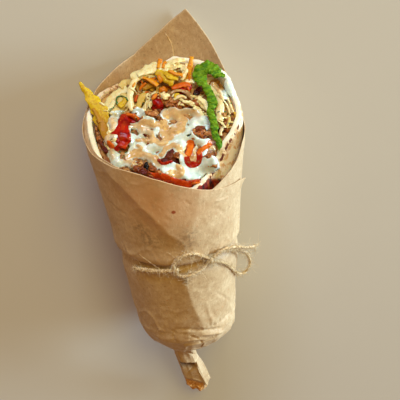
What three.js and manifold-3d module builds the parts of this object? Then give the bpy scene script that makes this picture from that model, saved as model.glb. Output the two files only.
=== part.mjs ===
// A chicken doner kebab: flatbread round its filling, in a cone of brown paper tied with twine.
// Millimetres, +Z up. The wrap lies on its back with the bow up, its mouth towards +Y and the
// twisted paper tail towards -Y. The origin is on the floor, under the middle of the body.

import * as THREE from 'three';
import { mergeVertices } from 'three/addons/utils/BufferGeometryUtils.js';
import Module from 'manifold-3d';

const wasm = await Module();
wasm.setup();

const { degToRad, radToDeg, lerp, smoothstep, clamp } = THREE.MathUtils;

// Driving dimensions of the cone
const BODY_RADIUS = 38;
const CONE_SLOPE = 0.109;
const FLOOR_PRESS = 1.3;
const MOUTH_Y = 60;
const MOUTH_Z = 43;
const MOUTH_SLOPE = 0.6;
const SHOULDER_Y = -73;
const NECK_Y = -103;
const NECK_RADIUS = 8.8;
const GAP = 0.3;
const SIMPLIFY_TO = 0.1;
const SHARPEST_CORNER = 0.4;
const COLUMNS = 36;

// Paper
const PAPER_WALL = 1;
const PLY_STEP = 0.6;
const PLY_EDGE_ANGLE = 72;
const PLY_THICKENS = [-110, 20];
const CORNER_RISE = [26, 33];
const CORNER_ANGLES = [25, 35];
const PAPER_STAND_OFF = 1.6;
const STAND_OFF_ANGLE = -95;
const STAND_OFF_SPREAD = 55;
const STAND_OFF_RISE = [-16.5, 35];
const BOTTOM_BLUNTNESS = 0.95;
const BOTTOM_CRUMPLE = 0.5;
const BOTTOM_BULGE_RIGHT = 1.8;
const TAIL_FOLD_DEPTH = 0.14;
const TAIL_FLATNESS = 0.85;
const FLAP_TIP_ANGLE = 158;
const FLAP_TIP_Y = 109;

// Where the paper's edge runs: degrees from the top towards +X, and the place along Y.
// The highest corner is the tip of the flap that lies behind the mouth.
const PAPER_EDGE = [
  [FLAP_TIP_ANGLE - 360, FLAP_TIP_Y], [-184, 97], [-164, 84.5], [-134, 74], [-110, 64], [-70, 53],
  [-38, 51.5], [-8, 45], [31, 31], [38, 33], [47, 36.5], [55, 41], [62, 46.5], [68, 52], [101, 55],
  [124, 73], [FLAP_TIP_ANGLE, FLAP_TIP_Y],
];

// Twisted tail of the paper: place along Y, middle across and up, half width, half thickness, twist
const TAIL_STATIONS = [
  [-103, -3, 26.2, 8.8, 7, 0],
  [-107, -3.4, 25.6, 7.6, 5.2, 8],
  [-113, -3.2, 24.4, 6.8, 4, 16],
  [-118, -2.4, 23, 6.8, 3, 22],
  [-124, -1.1, 21, 7.3, 3.2, 14],
  [-133, 0.6, 17.6, 7.9, 3, 8],
  [-143, 2.4, 13.8, 8.4, 3, 4],
  [-150, 3.2, 11.2, 8.8, 3.4, 2],
];
const TAIL_END_SLANT = 4;

// Bread
const BREAD_WALL = 3;
const BREAD_EDGE_WAVE = 0.9;
const BREAD_LEAN = 5.5;
const BREAD_LEAN_ANGLE = 55;
const BREAD_LEAN_SPREAD = 42;
const BREAD_LEAN_LENGTH = 25;

// The bread's edge round the back, lower than the mouth's slope: degrees from the top (0 to 360),
// and the place along Y. It steps where the bread's roll ends.
const BREAD_BACK_EDGE = [
  [100, 63.5], [108, 65.5], [114, 69], [118, 74], [125, 76.8], [134, 77.3], [144, 78.6], [153, 79.6],
  [162, 80.2], [168.5, 81], [175.6, 79], [184, 77], [192.5, 76], [201, 75], [203.5, 70.4], [211, 70.9],
  [223, 71.2], [236, 70.4], [243, 69.3], [250, 67.7], [260, 65.7],
];
const INNER_BOTTOM_MARGIN = 6;
const INNER_BLUNTNESS = 0.55;

// Filling
const FILLING_GAP = 0.6;
const FILLING_EDGE_HEIGHT = -4;
const FILLING_BELOW_BREAD = 2.5;
const FILLING_DOME = 4.5;
const FILLING_LUMP = 0.9;
const FILLING_LUMP_SIZE = 7;
const FILLING_CUT_GAP = 0.7;
const FILLING_CUT_COARSENESS = 0.5;
const DOME_ROWS = [0.84, 0.64, 0.42, 0.2];

// Twine
const TWINE_Y = -16.5;
const TWINE_DIAMETER = 2.1;
const TWINE_SIDES = 6;
const TWINE_CLEARANCE = 0.15;
const WAIST_DEPTH = 2.4;
const WAIST_DEPTH_UNDER = 1.5;
const WAIST_HALF_WIDTH = 7;
const BAND_POINTS = 37;
const BAND_STEPS = 36;
const KNOT_ANGLE = 28;

// Where the rows of the layers lie along Y below the mouth, and down the rounded bottom (0 to 1)
const HIDDEN_ROWS = [-8.5, TWINE_Y, -24.5, SHOULDER_Y];
const PAPER_ROWS = [10, 1, -6, -10, -13.5, TWINE_Y, -19.5, -23, -28, -38, -56, SHOULDER_Y];
const FRONT_ROW_Y = 22;
const BOTTOM_ROWS = [0.42, 0.78];
const PAPER_BOTTOM_ROWS = [0.24, 0.46, 0.66, 0.84];

const UP = new THREE.Vector3(0, 0, 1);

// Small helpers

function seededRandom(seed) {
  let state = seed;
  return () => {
    state = (state * 1664525 + 1013904223) % 4294967296;
    return state / 4294967296;
  };
}

// Smooth bumps between about -1 and 1, each about as wide as size.
function bumps(point, size, seed) {
  const x = point.x / size;
  const y = point.y / size;
  const z = point.z / size;
  const first = Math.sin(2.3 * x + seed) * Math.cos(1.9 * y - 2 * seed);
  const second = Math.sin(2.1 * y + 3 * seed) * Math.cos(2.5 * z + seed);
  const third = Math.sin(1.7 * z - seed) * Math.cos(2.9 * x + 5 * seed);
  return (first + second + third) / 1.6;
}

function signedPower(value, power) {
  return Math.sign(value) * Math.abs(value) ** power;
}

// Reads a value off a list of [place, value] corners.
function alongCorners(corners, place) {
  for (let i = 1; i < corners.length; i += 1) {
    const [start, startValue] = corners[i - 1];
    const [end, endValue] = corners[i];
    if (place <= end) {
      return lerp(startValue, endValue, (place - start) / (end - start));
    }
  }
  return corners[corners.length - 1][1];
}

function volumeOf(positions, indices) {
  const corner = [new THREE.Vector3(), new THREE.Vector3(), new THREE.Vector3()];
  let volume = 0;
  for (let i = 0; i < indices.length; i += 3) {
    for (let k = 0; k < 3; k += 1) {
      corner[k].fromArray(positions, 3 * indices[i + k]);
    }
    volume += corner[0].dot(corner[1].clone().cross(corner[2])) / 6;
  }
  return volume;
}

// A geometry from points and triangles, turned so that its faces point out.
function closedGeometry(points, triangles) {
  const positions = points.flatMap((point) => point.toArray());
  const indices = triangles.flat();
  if (volumeOf(positions, indices) < 0) {
    indices.reverse();
  }
  const geometry = new THREE.BufferGeometry();
  geometry.setAttribute('position', new THREE.Float32BufferAttribute(positions, 3));
  geometry.setIndex(indices);
  return geometry;
}

// Only positions, with the vertices that neighbouring faces share made one.
function welded(geometry) {
  const bare = geometry.clone();
  bare.deleteAttribute('normal');
  bare.deleteAttribute('uv');
  return mergeVertices(bare, 1e-4);
}

function toSolid(geometry) {
  const bare = welded(geometry);
  const mesh = new wasm.Mesh({
    numProp: 3,
    vertProperties: Float32Array.from(bare.attributes.position.array),
    triVerts: Uint32Array.from(bare.index.array),
  });
  return new wasm.Manifold(mesh);
}

// The largest body of a solid as a geometry. Scraps that a cut leaves are dropped.
function fromSolid(solid) {
  const bodies = solid.simplify(SIMPLIFY_TO).decompose();
  bodies.sort((a, b) => b.volume() - a.volume());
  const mesh = bodies[0].getMesh();
  const geometry = new THREE.BufferGeometry();
  geometry.setAttribute('position', new THREE.Float32BufferAttribute(mesh.vertProperties, 3));
  geometry.setIndex(Array.from(mesh.triVerts));
  return geometry;
}

function joined(geometries) {
  const solids = geometries.map(toSolid);
  return fromSolid(solids.reduce((whole, solid) => whole.add(solid)));
}

// The geometry with every face moved out by the distance. A point at a sharp edge moves further.
function grown(geometry, distance) {
  const bare = welded(geometry);
  const { position } = bare.attributes;
  const faces = [];
  for (let i = 0; i < bare.index.count; i += 3) {
    const corners = Array.from(bare.index.array.slice(i, i + 3));
    const triangle = new THREE.Triangle();
    triangle.setFromAttributeAndIndices(position, ...corners);
    faces.push({ corners, triangle, facing: triangle.getNormal(new THREE.Vector3()) });
  }
  const outward = Array.from({ length: position.count }, () => new THREE.Vector3());
  for (const { corners, triangle, facing } of faces) {
    const points = [triangle.a, triangle.b, triangle.c];
    corners.forEach((corner, k) => {
      const toNext = points[(k + 1) % 3].clone().sub(points[k]);
      const toLast = points[(k + 2) % 3].clone().sub(points[k]);
      outward[corner].addScaledVector(facing, toNext.angleTo(toLast));
    });
  }
  outward.forEach((out) => out.normalize());
  const leastFacing = new Array(position.count).fill(1);
  for (const { corners, facing } of faces) {
    for (const corner of corners) {
      leastFacing[corner] = Math.min(leastFacing[corner], outward[corner].dot(facing));
    }
  }
  const point = new THREE.Vector3();
  for (let i = 0; i < position.count; i += 1) {
    point.fromBufferAttribute(position, i);
    point.addScaledVector(outward[i], distance / Math.max(leastFacing[i], SHARPEST_CORNER));
    position.setXYZ(i, point.x, point.y, point.z);
  }
  return bare;
}

// The geometry less the others, with a gap round each. Coarse cutters leave fewer faces.
function cutBy(geometry, others, gap = GAP, coarseness = 0) {
  let solid = toSolid(geometry);
  for (const other of others) {
    solid = solid.subtract(toSolid(grown(other, gap)).simplify(coarseness));
  }
  return fromSolid(solid);
}

// A closed skin through rows of points that all have as many columns. A fan round its middle
// closes the first row and the last.
function lofted(rows) {
  const columns = rows[0].length;
  const points = rows.flat();
  const triangles = [];
  for (let row = 0; row + 1 < rows.length; row += 1) {
    for (let column = 0; column < columns; column += 1) {
      const next = (column + 1) % columns;
      const a = row * columns + column;
      const b = row * columns + next;
      const c = a + columns;
      const d = b + columns;
      if (points[a].distanceTo(points[d]) < points[b].distanceTo(points[c])) {
        triangles.push([a, b, d], [a, d, c]);
      } else {
        triangles.push([a, b, c], [b, d, c]);
      }
    }
  }
  const ends = [0, (rows.length - 1) * columns];
  ends.forEach((start, end) => {
    const ring = points.slice(start, start + columns);
    const middle = new THREE.Vector3();
    ring.forEach((point) => middle.addScaledVector(point, 1 / columns));
    points.push(middle);
    const pole = points.length - 1;
    for (let column = 0; column < columns; column += 1) {
      const here = start + column;
      const beside = start + ((column + 1) % columns);
      triangles.push(end === 0 ? [pole, beside, here] : [pole, here, beside]);
    }
  });
  return closedGeometry(points, triangles);
}

// The cone that paper, bread and filling share

function coneRadius(y) {
  return BODY_RADIUS + CONE_SLOPE * y;
}

function columnAngles() {
  const first = FLAP_TIP_ANGLE - 360;
  return Array.from({ length: COLUMNS }, (_, i) => first + (360 * i) / COLUMNS);
}

// How far the twine draws the wrap in: a soft valley, deeper where the wrap lies on it.
function waistDepth(angle, y) {
  const valley = Math.exp(-(((y - TWINE_Y) / WAIST_HALF_WIDTH) ** 2));
  const underside = smoothstep(-Math.cos(degToRad(angle)), 0.6, 0.97);
  return valley * (WAIST_DEPTH + underside * WAIST_DEPTH_UNDER);
}

// A point of the layer that lies inset mm inside the paper's outer face.
function layerPoint(angle, y, inset) {
  const turn = degToRad(angle);
  const middleZ = coneRadius(y) - FLOOR_PRESS;
  const radius = coneRadius(y) - inset - waistDepth(angle, y);
  const z = Math.max(middleZ + radius * Math.cos(turn), inset, 0);
  return new THREE.Vector3(radius * Math.sin(turn), y, z);
}

// A point down the rounded bottom of a layer, from its shoulder (0) to its end (1).
function bottomPoint(angle, down, inset) {
  const turn = degToRad(angle);
  const endY = NECK_Y + INNER_BOTTOM_MARGIN + inset;
  const y = lerp(SHOULDER_Y, endY, down);
  const radius = (coneRadius(SHOULDER_Y) - inset) * (1 - down ** 2) ** INNER_BLUNTNESS;
  const middleZ = coneRadius(SHOULDER_Y) - FLOOR_PRESS;
  return new THREE.Vector3(radius * Math.sin(turn), y, middleZ + radius * Math.cos(turn));
}

function ringAt(pointAt) {
  return columnAngles().map(pointAt);
}

// Paper cone with its flap and tail

function paperEdgeY(angle) {
  return alongCorners(PAPER_EDGE, angle);
}

// The sheet's free edge runs down the right side, so the front is one sheet thicker up to it.
function plyThickness(angle, y) {
  if (angle > PLY_EDGE_ANGLE) {
    return 0;
  }
  const start = smoothstep(angle, ...PLY_THICKENS);
  const belowCorner = 1 - smoothstep(y, ...CORNER_RISE) * smoothstep(angle, ...CORNER_ANGLES);
  return PLY_STEP * start * belowCorner;
}

// At the left of the mouth the paper stands off from the bread.
function paperStandOff(angle, y) {
  const off = Math.abs(angle - STAND_OFF_ANGLE) / STAND_OFF_SPREAD;
  const strength = off < 1 ? Math.cos((off * Math.PI) / 2) : 0;
  return PAPER_STAND_OFF * strength * smoothstep(y, ...STAND_OFF_RISE);
}

function paperOuterPoint(angle, y) {
  return layerPoint(angle, y, -plyThickness(angle, y) - paperStandOff(angle, y));
}

function paperInnerPoint(angle, y) {
  return layerPoint(angle, y, PAPER_WALL - paperStandOff(angle, y));
}

function paperBottomPoint(angle, down) {
  const turn = degToRad(angle);
  const y = lerp(SHOULDER_Y, NECK_Y, down);
  const shoulder = coneRadius(SHOULDER_Y);
  const [, tailX, tailZ] = TAIL_STATIONS[0];
  const drawnIn = NECK_RADIUS + (shoulder - NECK_RADIUS) * (1 - down ** 2) ** BOTTOM_BLUNTNESS;
  const crumple = BOTTOM_CRUMPLE * Math.sin(5 * turn + 3 * down) * down;
  const fullerRight = BOTTOM_BULGE_RIGHT * Math.sin(turn) * Math.sin(Math.PI * down);
  const ply = plyThickness(angle, y) * (1 - down);
  const radius = drawnIn + crumple + fullerRight + ply;
  const middleZ = lerp(shoulder - FLOOR_PRESS, tailZ, down);
  const z = Math.max(middleZ + radius * Math.cos(turn), 0);
  return new THREE.Vector3(radius * Math.sin(turn) + tailX * down, y, z);
}

function tailRing([y, x, z, halfWidth, halfThickness, twist], index) {
  const isEnd = index === TAIL_STATIONS.length - 1;
  return ringAt((angle) => {
    const turn = degToRad(angle);
    const fold = 1 + TAIL_FOLD_DEPTH * Math.sin(3 * turn + index);
    const across = halfWidth * signedPower(Math.sin(turn), TAIL_FLATNESS);
    const up = halfThickness * fold * signedPower(Math.cos(turn), TAIL_FLATNESS);
    const tilt = degToRad(twist);
    const slant = isEnd ? (TAIL_END_SLANT * across) / halfWidth : 0;
    return new THREE.Vector3(
      x + across * Math.cos(tilt) + up * Math.sin(tilt),
      y + slant,
      z - across * Math.sin(tilt) + up * Math.cos(tilt),
    );
  });
}

function paperGeometry() {
  const outer = [];
  for (const share of [0, 0.35, 0.7]) {
    outer.push(ringAt((angle) => {
      const y = lerp(paperEdgeY(angle), FRONT_ROW_Y, share);
      return paperOuterPoint(angle, y);
    }));
  }
  for (const y of [FRONT_ROW_Y, ...PAPER_ROWS]) {
    outer.push(ringAt((angle) => paperOuterPoint(angle, y)));
  }
  for (const down of PAPER_BOTTOM_ROWS) {
    outer.push(ringAt((angle) => paperBottomPoint(angle, down)));
  }
  TAIL_STATIONS.forEach((station, index) => {
    outer.push(tailRing(station, index));
  });
  const inner = layerRows(paperEdgeY, paperInnerPoint, PAPER_WALL);
  return lofted([...outer.reverse(), ...inner]);
}

// Rows of a hidden layer from its edge down to its end.
function layerRows(edgeY, pointAt, inset) {
  const rows = [];
  for (const share of [0, 0.5]) {
    rows.push(ringAt((angle) => pointAt(angle, lerp(edgeY(angle), FRONT_ROW_Y, share))));
  }
  for (const y of [FRONT_ROW_Y, ...HIDDEN_ROWS]) {
    rows.push(ringAt((angle) => pointAt(angle, y)));
  }
  for (const down of BOTTOM_ROWS) {
    rows.push(ringAt((angle) => bottomPoint(angle, down, inset)));
  }
  return rows;
}

// Flatbread, open at the mouth

// The mouth is cut on a slope, lowest at the front, with an edge of its own round the back.
function breadEdgeY(angle) {
  const [start] = BREAD_BACK_EDGE[0];
  const [end] = BREAD_BACK_EDGE[BREAD_BACK_EDGE.length - 1];
  const fullAngle = angle < 0 ? angle + 360 : angle;
  if (fullAngle > start && fullAngle < end) {
    return alongCorners(BREAD_BACK_EDGE, fullAngle);
  }
  const turn = degToRad(angle);
  const plane = MOUTH_Y - MOUTH_SLOPE * coneRadius(MOUTH_Y) * Math.cos(turn);
  return plane + BREAD_EDGE_WAVE * (Math.sin(3 * turn + 1) + Math.sin(7 * turn));
}

// At the right of the front the bread leans in over the filling and shows its back.
function breadLean(angle, y) {
  const off = Math.abs(angle - BREAD_LEAN_ANGLE) / BREAD_LEAN_SPREAD;
  const strength = off < 1 ? Math.cos((off * Math.PI) / 2) : 0;
  const start = breadEdgeY(angle) - BREAD_LEAN_LENGTH;
  return BREAD_LEAN * strength * clamp((y - start) / BREAD_LEAN_LENGTH, 0, 1);
}

function breadPoint(angle, y, depth) {
  return layerPoint(angle, y, PAPER_WALL + GAP + depth + breadLean(angle, y));
}

function breadGeometry() {
  const outerInset = PAPER_WALL + GAP;
  const innerInset = outerInset + BREAD_WALL;
  const outer = layerRows(breadEdgeY, (angle, y) => breadPoint(angle, y, 0), outerInset);
  const inner = layerRows(breadEdgeY, (angle, y) => breadPoint(angle, y, BREAD_WALL), innerInset);
  return lofted([...outer.reverse(), ...inner]);
}

// The mouth's own frame: x to the right, y up to the back of the mouth, z out of it.
const mouth = new THREE.Group();
mouth.position.set(0, MOUTH_Y, MOUTH_Z);
mouth.rotation.x = -Math.atan2(1, MOUTH_SLOPE);
mouth.updateMatrixWorld(true);
const toMouth = mouth.matrixWorld.clone().invert();

// Filling: a core with a bumpy dome, and the small shreds and crumbs fused on it

function fillingEdgePoint(angle) {
  const depth = BREAD_WALL + FILLING_GAP;
  const outwards = Math.hypot(1, MOUTH_SLOPE);
  let y = breadEdgeY(angle);
  for (let round = 0; round < 4; round += 1) {
    const { z } = breadPoint(angle, y, depth);
    y = MOUTH_Y + FILLING_EDGE_HEIGHT * outwards - (z - MOUTH_Z) * MOUTH_SLOPE;
  }
  y = Math.min(y, breadEdgeY(angle) - FILLING_BELOW_BREAD);
  return breadPoint(angle, y, depth);
}

function domeHeight(x, y, share) {
  const lump = FILLING_LUMP * bumps(new THREE.Vector3(x, y, 0), FILLING_LUMP_SIZE, 2);
  return FILLING_EDGE_HEIGHT + (FILLING_DOME + lump) * (1 - share * share);
}

function fillingCore() {
  const inset = PAPER_WALL + GAP + BREAD_WALL + FILLING_GAP;
  const rim = ringAt(fillingEdgePoint);
  const side = [rim];
  for (const y of [FRONT_ROW_Y - 2, ...HIDDEN_ROWS]) {
    side.push(ringAt((angle) => breadPoint(angle, y, BREAD_WALL + FILLING_GAP)));
  }
  for (const down of BOTTOM_ROWS) {
    side.push(ringAt((angle) => bottomPoint(angle, down, inset)));
  }
  const cap = DOME_ROWS.map((share) => rim.map((point) => {
    const local = point.clone().applyMatrix4(toMouth);
    local.x *= share;
    local.y *= share;
    local.z = domeHeight(local.x, local.y, share);
    return local.applyMatrix4(mouth.matrixWorld);
  }));
  const core = lofted([...side.reverse(), ...cap]);
  return core.applyMatrix4(toMouth);
}

// A thin strip along a curve. Width may change along it, and its edges may be ruffled.
function strip({ points, widths, thickness, steps, across = 1, ruffle = 0, waves = 0, roll = 0 }) {
  const curve = new THREE.CatmullRomCurve3(points.map((point) => new THREE.Vector3(...point)));
  const top = [];
  const bottom = [];
  for (let i = 0; i <= steps; i += 1) {
    const t = i / steps;
    const middle = curve.getPointAt(t);
    const along = curve.getTangentAt(t);
    const side = new THREE.Vector3().crossVectors(along, UP).normalize();
    side.applyAxisAngle(along, degToRad(roll));
    const out = new THREE.Vector3().crossVectors(side, along);
    const place = t * (widths.length - 1);
    const from = Math.min(Math.floor(place), widths.length - 2);
    const width = lerp(widths[from], widths[from + 1], place - from);
    for (let j = 0; j <= across; j += 1) {
      const offset = (2 * j) / across - 1;
      const wave = ruffle * Math.abs(offset) * Math.sin(2 * Math.PI * waves * t + 1.8 * offset);
      const point = middle.clone().addScaledVector(side, (offset * width) / 2);
      point.addScaledVector(out, wave);
      top.push(point.clone().addScaledVector(out, thickness / 2));
      bottom.push(point.clone().addScaledVector(out, -thickness / 2));
    }
  }
  const columns = across + 1;
  const under = top.length;
  const triangles = [];
  for (let i = 0; i < steps; i += 1) {
    for (let j = 0; j < across; j += 1) {
      const a = i * columns + j;
      const b = a + 1;
      const c = a + columns;
      const d = c + 1;
      triangles.push([a, b, d], [a, d, c]);
      triangles.push([under + a, under + d, under + b], [under + a, under + c, under + d]);
    }
  }
  const border = [
    ...Array.from({ length: across }, (_, j) => j),
    ...Array.from({ length: steps }, (_, i) => i * columns + across),
    ...Array.from({ length: across }, (_, j) => steps * columns + across - j),
    ...Array.from({ length: steps }, (_, i) => (steps - i) * columns),
  ];
  border.forEach((here, index) => {
    const next = border[(index + 1) % border.length];
    triangles.push([here, under + here, under + next], [here, under + next, next]);
  });
  return closedGeometry([...top, ...bottom], triangles);
}

// A lumpy piece: a ball pushed towards a box, stretched, dented and turned.
function chunk({ at, size, turn = [0, 0, 0], seed, detail = 2, boxy = 0.25, dents = 0.12 }) {
  const ball = welded(new THREE.IcosahedronGeometry(1, detail));
  const position = ball.attributes.position;
  const point = new THREE.Vector3();
  const rotation = new THREE.Euler(...turn.map(degToRad));
  for (let i = 0; i < position.count; i += 1) {
    point.fromBufferAttribute(position, i).normalize();
    const corner = Math.max(Math.abs(point.x), Math.abs(point.y), Math.abs(point.z));
    const reach = corner ** -boxy * (1 + dents * bumps(point, 0.8, seed));
    point.multiplyScalar(reach);
    point.set((point.x * size[0]) / 2, (point.y * size[1]) / 2, (point.z * size[2]) / 2);
    point.applyEuler(rotation).add(new THREE.Vector3(...at));
    position.setXYZ(i, point.x, point.y, point.z);
  }
  return ball;
}

// Small shreds and crumbs round the sauce, by a seeded rule. A pair is the least and the most.
const SCRAP_TRIES = 400;
const SCRAP_SPACING = 9;
const SCRAP_SEED = 11;
const SCRAP_FIELD_MIDDLE_Y = 2;
const SCRAP_FIELD = [33, 34];
const SCRAP_LIMIT = 35;
const SCRAP_LENGTHS = [6, 13];
const SCRAP_WIDTHS = [2, 3.4];
const SCRAP_RISES = [0, 1.6];
const SHRED_SHARE = 0.6;
const SHRED_THICKNESS = 1.6;
const FILLING_REACH = 38;
const SAUCE_MIDDLE = [-2, -17];
const SAUCE_REACH = [27, 21];

function scraps() {
  const random = seededRandom(SCRAP_SEED);
  const pieces = [];
  const places = [];
  for (let attempt = 0; attempt < SCRAP_TRIES; attempt += 1) {
    const turn = 2 * Math.PI * random();
    const reach = Math.sqrt(random());
    const x = SCRAP_FIELD[0] * reach * Math.cos(turn);
    const y = SCRAP_FIELD_MIDDLE_Y + SCRAP_FIELD[1] * reach * Math.sin(turn);
    const heading = 2 * Math.PI * random();
    const length = lerp(...SCRAP_LENGTHS, random());
    const rise = lerp(...SCRAP_RISES, random());
    const isShred = random() < SHRED_SHARE;
    const width = lerp(...SCRAP_WIDTHS, random());
    const share = clamp(Math.hypot(x, y) / FILLING_REACH, 0, 1);
    const offX = (x - SAUCE_MIDDLE[0]) / SAUCE_REACH[0];
    const offY = (y - SAUCE_MIDDLE[1]) / SAUCE_REACH[1];
    if (Math.hypot(offX, offY) < 1) {
      continue;
    }
    const z = domeHeight(x, y, share) + rise;
    const dx = (length / 2) * Math.cos(heading);
    const dy = (length / 2) * Math.sin(heading);
    const endReach = Math.max(Math.hypot(x + dx, y + dy), Math.hypot(x - dx, y - dy));
    const reachesOut = endReach > SCRAP_LIMIT;
    const isCrowded = places.some((place) => Math.hypot(x - place[0], y - place[1]) < SCRAP_SPACING);
    if (reachesOut || isCrowded) {
      continue;
    }
    places.push([x, y]);
    pieces.push(isShred
      ? strip({
        points: [[x - dx, y - dy, z - 1], [x, y, z + 1], [x + dx, y + dy, z - 0.8]],
        widths: [width, width, width],
        thickness: SHRED_THICKNESS,
        steps: 3,
      })
      : chunk({
        at: [x, y, z],
        size: [length * 0.6, width * 1.7, width * 1.3],
        turn: [0, 0, radToDeg(heading)],
        seed: pieces.length,
        detail: 0,
      }));
  }
  return pieces;
}

// Pieces as large as a berry, in the mouth's frame
const TOPPINGS = {
  yellow_pepper_strip: {
    shape: strip,
    look: 'pepper',
    points: [
      [-31.5, -8, -6], [-33.2, -1, -1], [-35.2, 7, 3.4], [-38.2, 15, 5.2], [-41.6, 21.5, 6], [-45, 27.6, 7],
    ],
    widths: [6, 7.5, 8, 7, 4.5, 1.2],
    thickness: 2.6,
    steps: 12,
    across: 2,
    ruffle: 0.4,
    waves: 2,
    roll: 12,
  },
  lettuce_leaf: {
    shape: strip,
    look: 'lettuce',
    points: [
      [36, 20.5, 4.6], [33, 26, 6.4], [28, 30.4, 7], [21.8, 28.6, 6.6], [20.6, 21.5, 6.2], [23.2, 14.6, 6],
      [26.6, 7.6, 6], [26.6, 1.5, 5.8], [24.8, -5, 5.6], [25.2, -12, 5], [26.2, -18.5, 4], [27.6, -24.5, 2.4],
    ],
    widths: [1.2, 7, 8, 6.6, 5, 5, 5.6, 5, 4.6, 5, 5.4, 3.4, 1.2],
    thickness: 0.9,
    steps: 30,
    across: 2,
    ruffle: 1.1,
    waves: 9,
  },
  carrot_stick: {
    shape: strip,
    look: 'carrot',
    points: [[14.6, 19.8, -0.2], [17, 28, 6.2], [19, 35.3, 9]],
    widths: [3, 3, 2.4],
    thickness: 2.6,
    steps: 4,
  },
  cream_strip_back: {
    shape: strip,
    look: 'onion',
    points: [[11.8, 21.4, 1.2], [14, 27.2, 4.8], [16.2, 32.4, 6.8]],
    widths: [2.4, 3.4, 2],
    thickness: 1.4,
    steps: 5,
  },
  carrot_shred_left: {
    shape: strip,
    look: 'carrot',
    points: [[-11.5, 31.6, 1.6], [-6.4, 26.6, 3.8], [-1.4, 22, 3.8]],
    widths: [1.6, 3, 3],
    thickness: 1.8,
    steps: 4,
  },
  carrot_shred_back: {
    shape: strip,
    look: 'carrot',
    points: [[-1.6, 31.8, 1], [0.4, 35, 4.4], [1.6, 38, 6.4]],
    widths: [3, 3, 2.2],
    thickness: 1.8,
    steps: 3,
  },
  onion_ring: {
    shape: strip,
    look: 'onion',
    points: [
      [-18.4, 8.4, 1.4], [-18.6, 14, 3.2], [-17.8, 20, 3.8], [-15.4, 25.4, 4], [-11.4, 29.6, 4],
      [-6.4, 32.6, 3.6], [-1.5, 32.8, 1.6],
    ],
    widths: [3, 3.4, 3.6, 3.6, 3.4, 3.2, 2.6],
    thickness: 2.2,
    steps: 12,
    roll: 24,
  },
  yellow_pepper_slice: {
    shape: strip,
    look: 'pepper',
    points: [[0.8, 29.4, 3.4], [4.6, 27.6, 4.8], [8.4, 23.4, 4.2]],
    widths: [5, 8, 6.4],
    thickness: 2.2,
    steps: 5,
    across: 2,
    ruffle: 0.4,
    waves: 1,
  },
  cabbage_strip_back: {
    shape: strip,
    look: 'cabbage',
    points: [[1.4, 33.8, 1.8], [8.4, 36.6, 4.6], [15.4, 37.2, 4]],
    widths: [3, 3.4, 2.2],
    thickness: 1.2,
    steps: 5,
  },
  cabbage_strip_right: {
    shape: strip,
    look: 'cabbage',
    points: [[31.4, 12.6, 2], [31.6, 3.5, 3.4], [29.6, -5, 1]],
    widths: [3, 5, 3],
    thickness: 1.4,
    steps: 6,
    roll: -14,
  },
  tomato_wedge: {
    shape: chunk,
    look: 'tomato',
    at: [-27, -6, 0.6],
    size: [8.6, 17, 8],
    turn: [0, 8, -26],
    seed: 3,
    boxy: 0.12,
    dents: 0.06,
  },
  tomato_slice_left: {
    shape: chunk,
    look: 'tomato',
    at: [-18.2, 2.8, 1.6],
    size: [10, 5, 5],
    turn: [0, 0, -8],
    seed: 5,
    boxy: 0.1,
    dents: 0.06,
    detail: 1,
  },
  tomato_middle: {
    shape: chunk,
    look: 'tomato',
    at: [-3.4, 9.8, 1.2],
    size: [8, 10, 7],
    turn: [10, 0, 12],
    seed: 7,
    boxy: 0.2,
    dents: 0.08,
    detail: 1,
  },
  tomato_back: {
    shape: chunk,
    look: 'tomato',
    at: [11.4, 19.2, 1.4],
    size: [13, 6.5, 6],
    turn: [0, 0, 18],
    seed: 8,
    boxy: 0.2,
    dents: 0.08,
    detail: 1,
  },
  chicken_strip_middle: {
    shape: chunk,
    look: 'chicken',
    at: [7.6, 9.6, 1.8],
    size: [15, 8, 6.4],
    turn: [0, 6, -12],
    seed: 1,
  },
  chicken_piece_left: {
    shape: chunk,
    look: 'chicken',
    at: [-9.4, 1.4, 1.2],
    size: [11, 7.4, 7],
    turn: [12, 0, 30],
    seed: 2,
    detail: 1,
  },
  chicken_piece_front_left: {
    shape: chunk,
    look: 'chicken',
    at: [-15.4, -30.2, -1.6],
    size: [13, 8, 7],
    turn: [14, -8, -32],
    seed: 4,
  },
  chicken_piece_front: {
    shape: chunk,
    look: 'chicken',
    at: [-5.4, -33.4, -1.4],
    size: [13, 8, 7],
    turn: [10, 0, -12],
    seed: 6,
    detail: 1,
  },
  chicken_piece_sauced: {
    shape: chunk,
    look: 'chicken',
    at: [2, -24.6, 1.4],
    size: [14, 8.6, 8],
    turn: [6, 4, 28],
    seed: 9,
    detail: 1,
  },
  chicken_piece_right: {
    shape: chunk,
    look: 'chicken',
    at: [18.2, -12, 1.8],
    size: [11, 8, 7],
    turn: [0, 10, 10],
    seed: 12,
    detail: 1,
  },
  chicken_piece_low_right: {
    shape: chunk,
    look: 'chicken',
    at: [20.4, -29, -0.8],
    size: [12, 7, 7],
    turn: [8, 0, -20],
    seed: 13,
    detail: 1,
  },
  chicken_piece_by_leaf: {
    shape: chunk,
    look: 'chicken',
    at: [17, 9.6, 0.8],
    size: [8, 9, 7],
    turn: [0, 0, 25],
    seed: 14,
    detail: 1,
  },
  cabbage_lump_left: {
    shape: chunk,
    look: 'cabbage',
    at: [-30.6, 0.4, 0.6],
    size: [5.6, 9, 5],
    turn: [0, -12, -16],
    seed: 15,
    detail: 1,
  },
  cabbage_lump_front_left: {
    shape: chunk,
    look: 'cabbage',
    at: [-32.2, -10.6, -0.6],
    size: [4.6, 9, 4.6],
    turn: [0, 0, 14],
    seed: 16,
    detail: 1,
  },
};

// Sauces: flat puddles draped over what they lie on

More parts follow.
